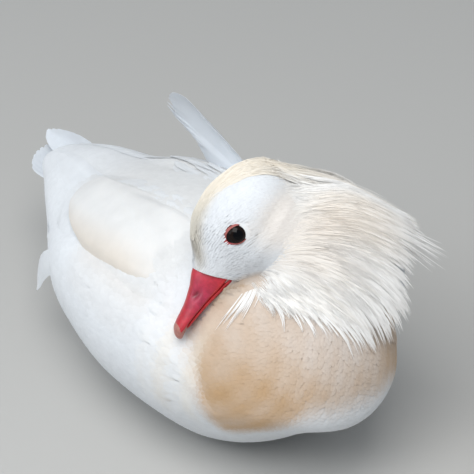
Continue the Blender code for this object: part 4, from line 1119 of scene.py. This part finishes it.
def makeRaisedSail():
    # a fan of barbs from its root to that edge, frayed at the back, on a plane that leans out a little
    rng = np.random.default_rng(61)
    columns, rows = 97, 26
    share = np.linspace(0, 1, columns)
    knots = np.linspace(0, 1, len(sailEdge))
    edge = np.stack([eased(share, knots, sailEdge[:, k]) for k in (0, 1)], 1)
    fray = np.where(share > 0.5, rng.uniform(0, 1, columns) ** 2 * 0.16, 0.004 * rng.random(columns))
    fray *= smooth(share, 0.5, 0.7) * smooth(1 - share, 0, 0.2) + 0.05
    root = np.array([2.0, 98.0])
    r = np.linspace(0.05, 1, rows)[:, None, None]
    flat = root + (edge[None] - root) * (r * (1 - fray[None, :, None] * r ** 6))
    x, z = flat[..., 0], flat[..., 1]
    normal = unit(np.array([-0.03, 0.97, 0.22]))
    y = 25 - (normal[0] * (x + 47) + normal[2] * (z - 104)) / normal[1]
    y = y + 3 * np.sin(math.pi * r[..., 0]) * np.sin(math.pi * share)[None, :]
    points = np.stack([x, y, z], -1) * mm
    thick = 0.5 * mm * (1.1 - 0.7 * r[..., 0])
    sail = sheetBody("sailRaised", points, np.broadcast_to(normal, points.shape), thick)
    uv = np.stack(np.broadcast_arrays(r[..., 0], share[None, :]), -1)
    rim = smooth(r[..., 0] * np.ones_like(share), 0.8, 1.0)[..., None]
    # a painted shaded bluish white, lighter at the root and darker towards the tip and rim as painted shade
    tint = tones["coolShade"] * (1.2 - 0.4 * r - 0.06 * rim)
    finishSheet(sail, uv, tint, "sail_left")


# how far back the folded sail reaches, from its upper edge to its lower
foldedBack = [(0, -76), (0.25, -84), (0.5, -81), (0.65, -70), (0.8, -48), (0.9, -26), (1, 2)]


def makeFoldedSail():
    # laid over the right side, s from front to back and t from the upper edge down
    rows, columns = 60, 40
    s = np.linspace(0, 1, rows)[:, None]
    t = np.linspace(0, 1, columns)[None, :]
    back = eased(t[0], *np.array(foldedBack, float).T)[None, :]
    front = 30
    x = front + (back - front) * s
    spread = 0.5 + 0.5 * np.sin(s * math.pi / 2) ** 0.7
    top = 9 + 13 * smooth(s, 0.15, 0.95)
    opened = spread + (1 - spread) * smooth(0.5 - t, -0.1, 0.3)
    angle = 44 + (top + (67 - top) * t - 44) * opened
    ripple = 0.25 * np.sin(9 * t + 3 * s) * s
    under, _ = overTorso(x, angle, -1, 0.0)
    rise = sideLift(under.reshape(-1, 3)).reshape(x.shape) / mm
    high = rise - 1.5 + 2.6 * smooth(s, 0, 0.45) + 0.9 * s ** 2 - 5 * smooth(t, 0.72, 0.95)
    high = high - 2.4 * smooth(0.16 - t, 0, 0.14) * smooth(0.75 - s, 0, 0.3)
    points, ways = overTorso(x, angle, -1, high + ripple)
    rim = smooth(np.minimum(np.minimum(t, 1 - t) * 5, (1 - s) * 5), 0, 1)
    sail = sheetBody("sailFolded", points, ways, (0.15 + 0.5 * rim) * mm)
    uv = np.stack(np.broadcast_arrays(0.5 + 0.5 * t, s), -1)
    # the lower part taken towards the sail tone: the sail's own tan, and painted shade where it tucks under
    # the flank
    low = (smooth(t, 0.42, 0.8) * smooth(s, 0.05, 0.5))[..., None]
    tint = tones["panel"] * (1 - 0.8 * low) + tones["sail"] * 0.8 * low
    finishSheet(sail, uv, tint, "sail_right")


makeRaisedSail()
makeFoldedSail()
print("sails done")

# tail: for each pair of feathers, mm to the side, degrees turned out and length
tailTable = [(1, 0, 42), (3, 1.5, 42), (5, 3, 41.5), (7, 4.5, 40), (8.5, 6, 38), (9.5, 8, 35)]


def makeTail():
    t = np.linspace(0, 1, 12)
    paths, ways = [], []
    for i, (place, turn, length) in enumerate(tailTable):
        for side in (1, -1):
            a = math.radians(turn) * side
            root = np.array([-121.0, place * 0.8 * side, 61.0])
            tip = root + length * np.array([-math.cos(a), math.sin(a), 0.06 + 0.1 * side])
            path = root + (tip - root) * t[:, None]
            path[:, 2] += 0.7 * (5 - i) - 1.6 + 0.3 * (side > 0)
            paths.append(path * mm)
            ways.append(np.tile(unit(np.array([0, -0.1 * side, 1.0])), (len(t), 1)))
    # the tail painted in the shaded bluish white, as painted shade
    wideVanes("tailFeathers", paths, ways, [12.5 * mm] * len(paths), vanePlan, [tones["coolShade"]] * len(paths),
              ["tail"])


makeTail()

def hornMaterial():
    # bill and lids: the mesh's colour with fine spots, softly polished
    mat, tree, shader = newMaterial("billHorn", Roughness=0.42, Coat_Weight=0.12, Coat_Roughness=0.25,
                                    Subsurface_Weight=0.1, Subsurface_Scale=0.002)
    where = tree.nodes.new("ShaderNodeTexCoord").outputs["Object"]
    spots = node(tree, "ShaderNodeTexNoise", Vector=where, Scale=420.0, Detail=5.0, Roughness=0.6)
    bump = node(tree, "ShaderNodeBump", Height=spots.outputs["Fac"], Strength=0.25, Distance=0.0002)
    fill(tree, shader, {"Normal": bump.outputs["Normal"],
                        "Base Color": mottledTint(tree, spots, (0.35, 0.65), (0.78, 1.08))})
    return mat


horn = hornMaterial()


def makeBillPiece(name, stations, rings, around, slot, nodeName, paint, shape=None):
    # a loft on the head, shaped and painted by functions of its points in the head's directions
    obj = loftBody(name, form(stations, headAt, headAxes), rings, around)
    local = inHead(pointsOf(obj.data)) / mm
    if shape is not None:
        local = shape(local)
        movePoints(obj.data, headPoint(local * mm))
    setTint(obj, paint(local))
    dress(obj, horn, slot, nodeName)


def shapeUpper(local):
    # nostrils sunk into the sides, and a lip that stands out along the cutting edge
    a, b, c = local.T.copy()
    side = np.sign(b)
    dip = np.exp(-((a - 33.5) / 2.6) ** 2 - ((c + 3.9) / 1.1) ** 2) * (np.abs(b) > 1.5)
    lip = np.exp(-((c + 10.6) / 0.9) ** 2) * smooth(a, 18, 24)
    b = b - side * dip * 1.7 + side * lip * 0.45
    c = c - dip * 0.5
    return np.stack([a, b, c], 1)


def paintUpper(local):
    # red with a purple middle, a brighter cutting edge and nostrils darkened with painted shade
    a, b, c = local.T
    red, purple = np.array([0.47, 0.022, 0.035]), np.array([0.34, 0.028, 0.08])
    rim, dark = np.array([0.62, 0.022, 0.024]), np.array([0.10, 0.008, 0.012])
    tint = np.tile(red, (len(a), 1))
    mid = (np.exp(-((a - 34) / 9) ** 2) * smooth(np.abs(b), 1.5, 4))[:, None]
    tint = tint * (1 - 0.7 * mid) + purple * 0.7 * mid
    edge = smooth(-c - 8.2, 0, 2.0)[:, None]
    tint = tint * (1 - edge) + rim * edge
    # painted shade inside the nostrils
    nostrilShade = (np.exp(-((a - 33.5) / 1.9) ** 2 - ((c + 4.2) / 0.9) ** 2) * (np.abs(b) > 1.5))[:, None]
    return tint * (1 - 0.85 * nostrilShade) + dark * 0.85 * nostrilShade


makeBillPiece("billUpper", upperBill, 70, 64, "bill", "bill_upper", paintUpper, shapeUpper)
makeBillPiece("billLower", lowerBill, 40, 40, "bill", "bill_lower",
              lambda q: np.tile(np.array([0.46, 0.016, 0.022]), (len(q), 1)))
makeBillPiece("billNail", billNail, 30, 32, "nail", "bill_nail",
              lambda q: np.array([0.42, 0.17, 0.14]) * (1 - 0.35 * smooth(48.6 - q[:, 0], 0, 2))[:, None])

# eyes and lids: the ball, the opening's half length, half height and tilt in degrees, and the lid's width
eyeForm = {
    "radius": 5.75, "bulge": 6.2, "at": (0.0, 12.6, 0.5), "long": 5.0, "short": 3.9, "tilt": 28.0,
    "ring": 0.75,
}
# the lid's rings, from inside the opening over the rim and down under the feathers: share of its width out,
# and mm over the ball
lidRows = [(-0.35, -0.7), (0.0, 0.1), (0.25, 0.55), (0.6, 0.7), (1.0, 0.45), (1.35, -0.3), (1.2, -1.6)]
eyeGloss, eyeTree, eyeShader = newMaterial("eyeBall", Roughness=0.04, Specular_IOR_Level=0.12)
eyeTree.links.new(meshTint(eyeTree), eyeShader.inputs["Base Color"])


def makeEye(side, label):
    # the ball with a dark brown iris
    at = np.array(eyeForm["at"]) * (1, side, 1)
    around, rings = 64, 40
    theta = np.linspace(0, math.pi, rings + 2)[1:-1, None]
    phi = np.linspace(0, 2 * math.pi, around, endpoint=False)[None, :]
    local = np.stack([
        np.sin(theta) * np.cos(phi), side * np.cos(theta) * np.ones_like(phi), np.sin(theta) * np.sin(phi),
    ], -1)
    size, deep = eyeForm["radius"], eyeForm["bulge"]
    poles = [headPoint((at + np.array([0, side * k * deep, 0])) * mm) for k in (1, -1)]
    ball = ringBody("eye" + label, headPoint((at + local * (size, deep, size)) * mm), *poles, sharp=0)
    outwards = (inHead(pointsOf(ball.data)) / mm - at)[:, 1] * side / deep
    away = np.degrees(np.arccos(np.clip(outwards, -1, 1)))
    iris = smooth(away, 22, 26)[:, None] * (1 - smooth(away, 46, 52))[:, None]
    setTint(ball, np.array([0.002, 0.002, 0.003]) * (1 - iris) + np.array([0.009, 0.005, 0.004]) * iris)
    dress(ball, eyeGloss, "eye", "eye_" + label.lower())
    # the lid, wider at the front corner
    angle = np.linspace(0, 2 * math.pi, 72, endpoint=False)
    tilt = math.radians(eyeForm["tilt"])
    corner = np.exp(-(((np.degrees(angle) + 26) + 180) % 360 - 180) ** 2 / 700)
    rows = []
    for reach, over in lidRows:
        wide = reach * eyeForm["ring"] * (1 + 0.9 * corner * (reach > 0))
        longWay = eyeForm["long"] + wide + 0.5 * corner
        shortWay = eyeForm["short"] + wide
        u = longWay * np.cos(angle)
        w = shortWay * np.sin(angle)
        a = u * math.cos(tilt) - w * math.sin(tilt)
        c = u * math.sin(tilt) + w * math.cos(tilt)
        far = deep * np.sqrt(1 - (np.minimum(np.hypot(a, c), size * 0.96) / size) ** 2)
        rows.append(np.stack([a + at[0], side * (abs(at[1]) + far + over), c + at[2]], 1))
    rings = headPoint(np.array(rows) * mm)
    count, around = rings.shape[:2]
    j = np.arange(around)
    k = (j + 1) % around
    last = (count - 1) * around
    quads = np.concatenate([gridFaces(count, around), np.stack([last + j, last + k, k, j], -1)])
    lid = facingOut(newMesh("lid" + label, rings.reshape(-1, 3), quads, None, 70))
    pink = np.array([0.34, 0.09, 0.08])
    red = np.array([0.50, 0.04, 0.045])
    share = np.tile(corner, count)[:, None]
    setTint(lid, pink * (1 - share) + red * share)
    dress(lid, horn, "bill")


makeEye(1, "Left")
makeEye(-1, "Right")
print("head done")

# feet keep their solids, with webbed leather
footSkin, tree, shader = newMaterial("webbedFoot", Roughness=0.5)
where = tree.nodes.new("ShaderNodeTexCoord")
scales = node(tree, "ShaderNodeTexVoronoi", Vector=where.outputs["Object"], Scale=620.0)
ramp = tree.nodes.new("ShaderNodeValToRGB")
ramp.color_ramp.elements[0].color = (0.62, 0.20, 0.06, 1)
ramp.color_ramp.elements[1].color = (0.80, 0.36, 0.14, 1)
tree.links.new(scales.outputs["Distance"], ramp.inputs["Fac"])
tree.links.new(ramp.outputs["Color"], shader.inputs["Base Color"])
bump = node(tree, "ShaderNodeBump", Height=scales.outputs["Distance"], Strength=0.5, Distance=0.0003)
tree.links.new(bump.outputs["Normal"], shader.inputs["Normal"])
for name in ("leg_left", "leg_right"):
    legObject = bpy.data.objects[name]
    if not legObject.material_slots:
        legObject.data.materials.append(footSkin)
    for legSlot in legObject.material_slots:
        legSlot.material = footSkin

# floor, light and camera
floorCorners = np.array([(-3, -3, 0), (3, -3, 0), (3, 3, 0), (-3, 3, 0)], float)
floorMesh = newMesh("floor", floorCorners, np.array([[0, 1, 2, 3]]), None, 0)
paper, _, _ = newMaterial("paleFloor", Base_Color=(0.46, 0.455, 0.44, 1), Roughness=0.9)
floorMesh.data.materials.append(paper)


def standAt(obj, side, up, away, place):
    # a lamp or camera put at a place in the scene, its own x, y and z along three directions
    obj.matrix_world = Matrix([(*row, spot) for row, spot in zip(np.array([side, up, away]).T, place)]
                              + [(0, 0, 0, 1)])
    bpy.context.scene.collection.objects.link(obj)


lights = [
    {"name": "key", "at": (0.55, -0.62, 1.38), "size": 1.1, "power": 22, "colour": (1, 0.995, 0.985)},
    {"name": "fill", "at": (-0.3, -1.4, 0.8), "size": 1.2, "power": 8, "colour": (0.88, 0.94, 1)},
]
for light in lights:
    lamp = bpy.data.lights.new(light["name"], "AREA")
    lamp.size = light["size"]
    lamp.energy = light["power"]
    lamp.color = light["colour"]
    lampObject = bpy.data.objects.new(light["name"], lamp)
    away = unit(np.array(light["at"]) - (0, 0, 0.06))
    side = unit(np.cross((0, 0, 1), away))
    standAt(lampObject, side, np.cross(away, side), away, light["at"])

world = bpy.data.worlds.new("studio")
world.use_nodes = True
world.node_tree.nodes["Background"].inputs["Color"].default_value = (0.88, 0.94, 1, 1)
world.node_tree.nodes["Background"].inputs["Strength"].default_value = 0.42
bpy.context.scene.world = world
bpy.context.scene.view_settings.view_transform = "Standard"

az, el = math.radians(photoView["azimuth"]), math.radians(photoView["elevation"])
towards = np.array([math.sin(az) * math.cos(el), -math.cos(az) * math.cos(el), math.sin(el)])
right = np.array([math.cos(az), math.sin(az), 0])
above = np.cross(towards, right)
half = photoView["frame"] / 2
scale = photoView["pxPerMm"] / mm
aim = np.array(photoView["aim"]) * mm + (half - photoView["aimPx"][0]) / scale * right
aim = aim + (photoView["aimPx"][1] - half) / scale * above
camera = bpy.data.cameras.new("camera")
camera.angle = 2 * math.atan(half / scale / photoView["distance"])
camera.clip_start = 0.05
cameraObject = bpy.data.objects.new("camera", camera)
standAt(cameraObject, right, above, towards, aim + towards * photoView["distance"])
bpy.context.scene.camera = cameraObject
print("camera and light done")
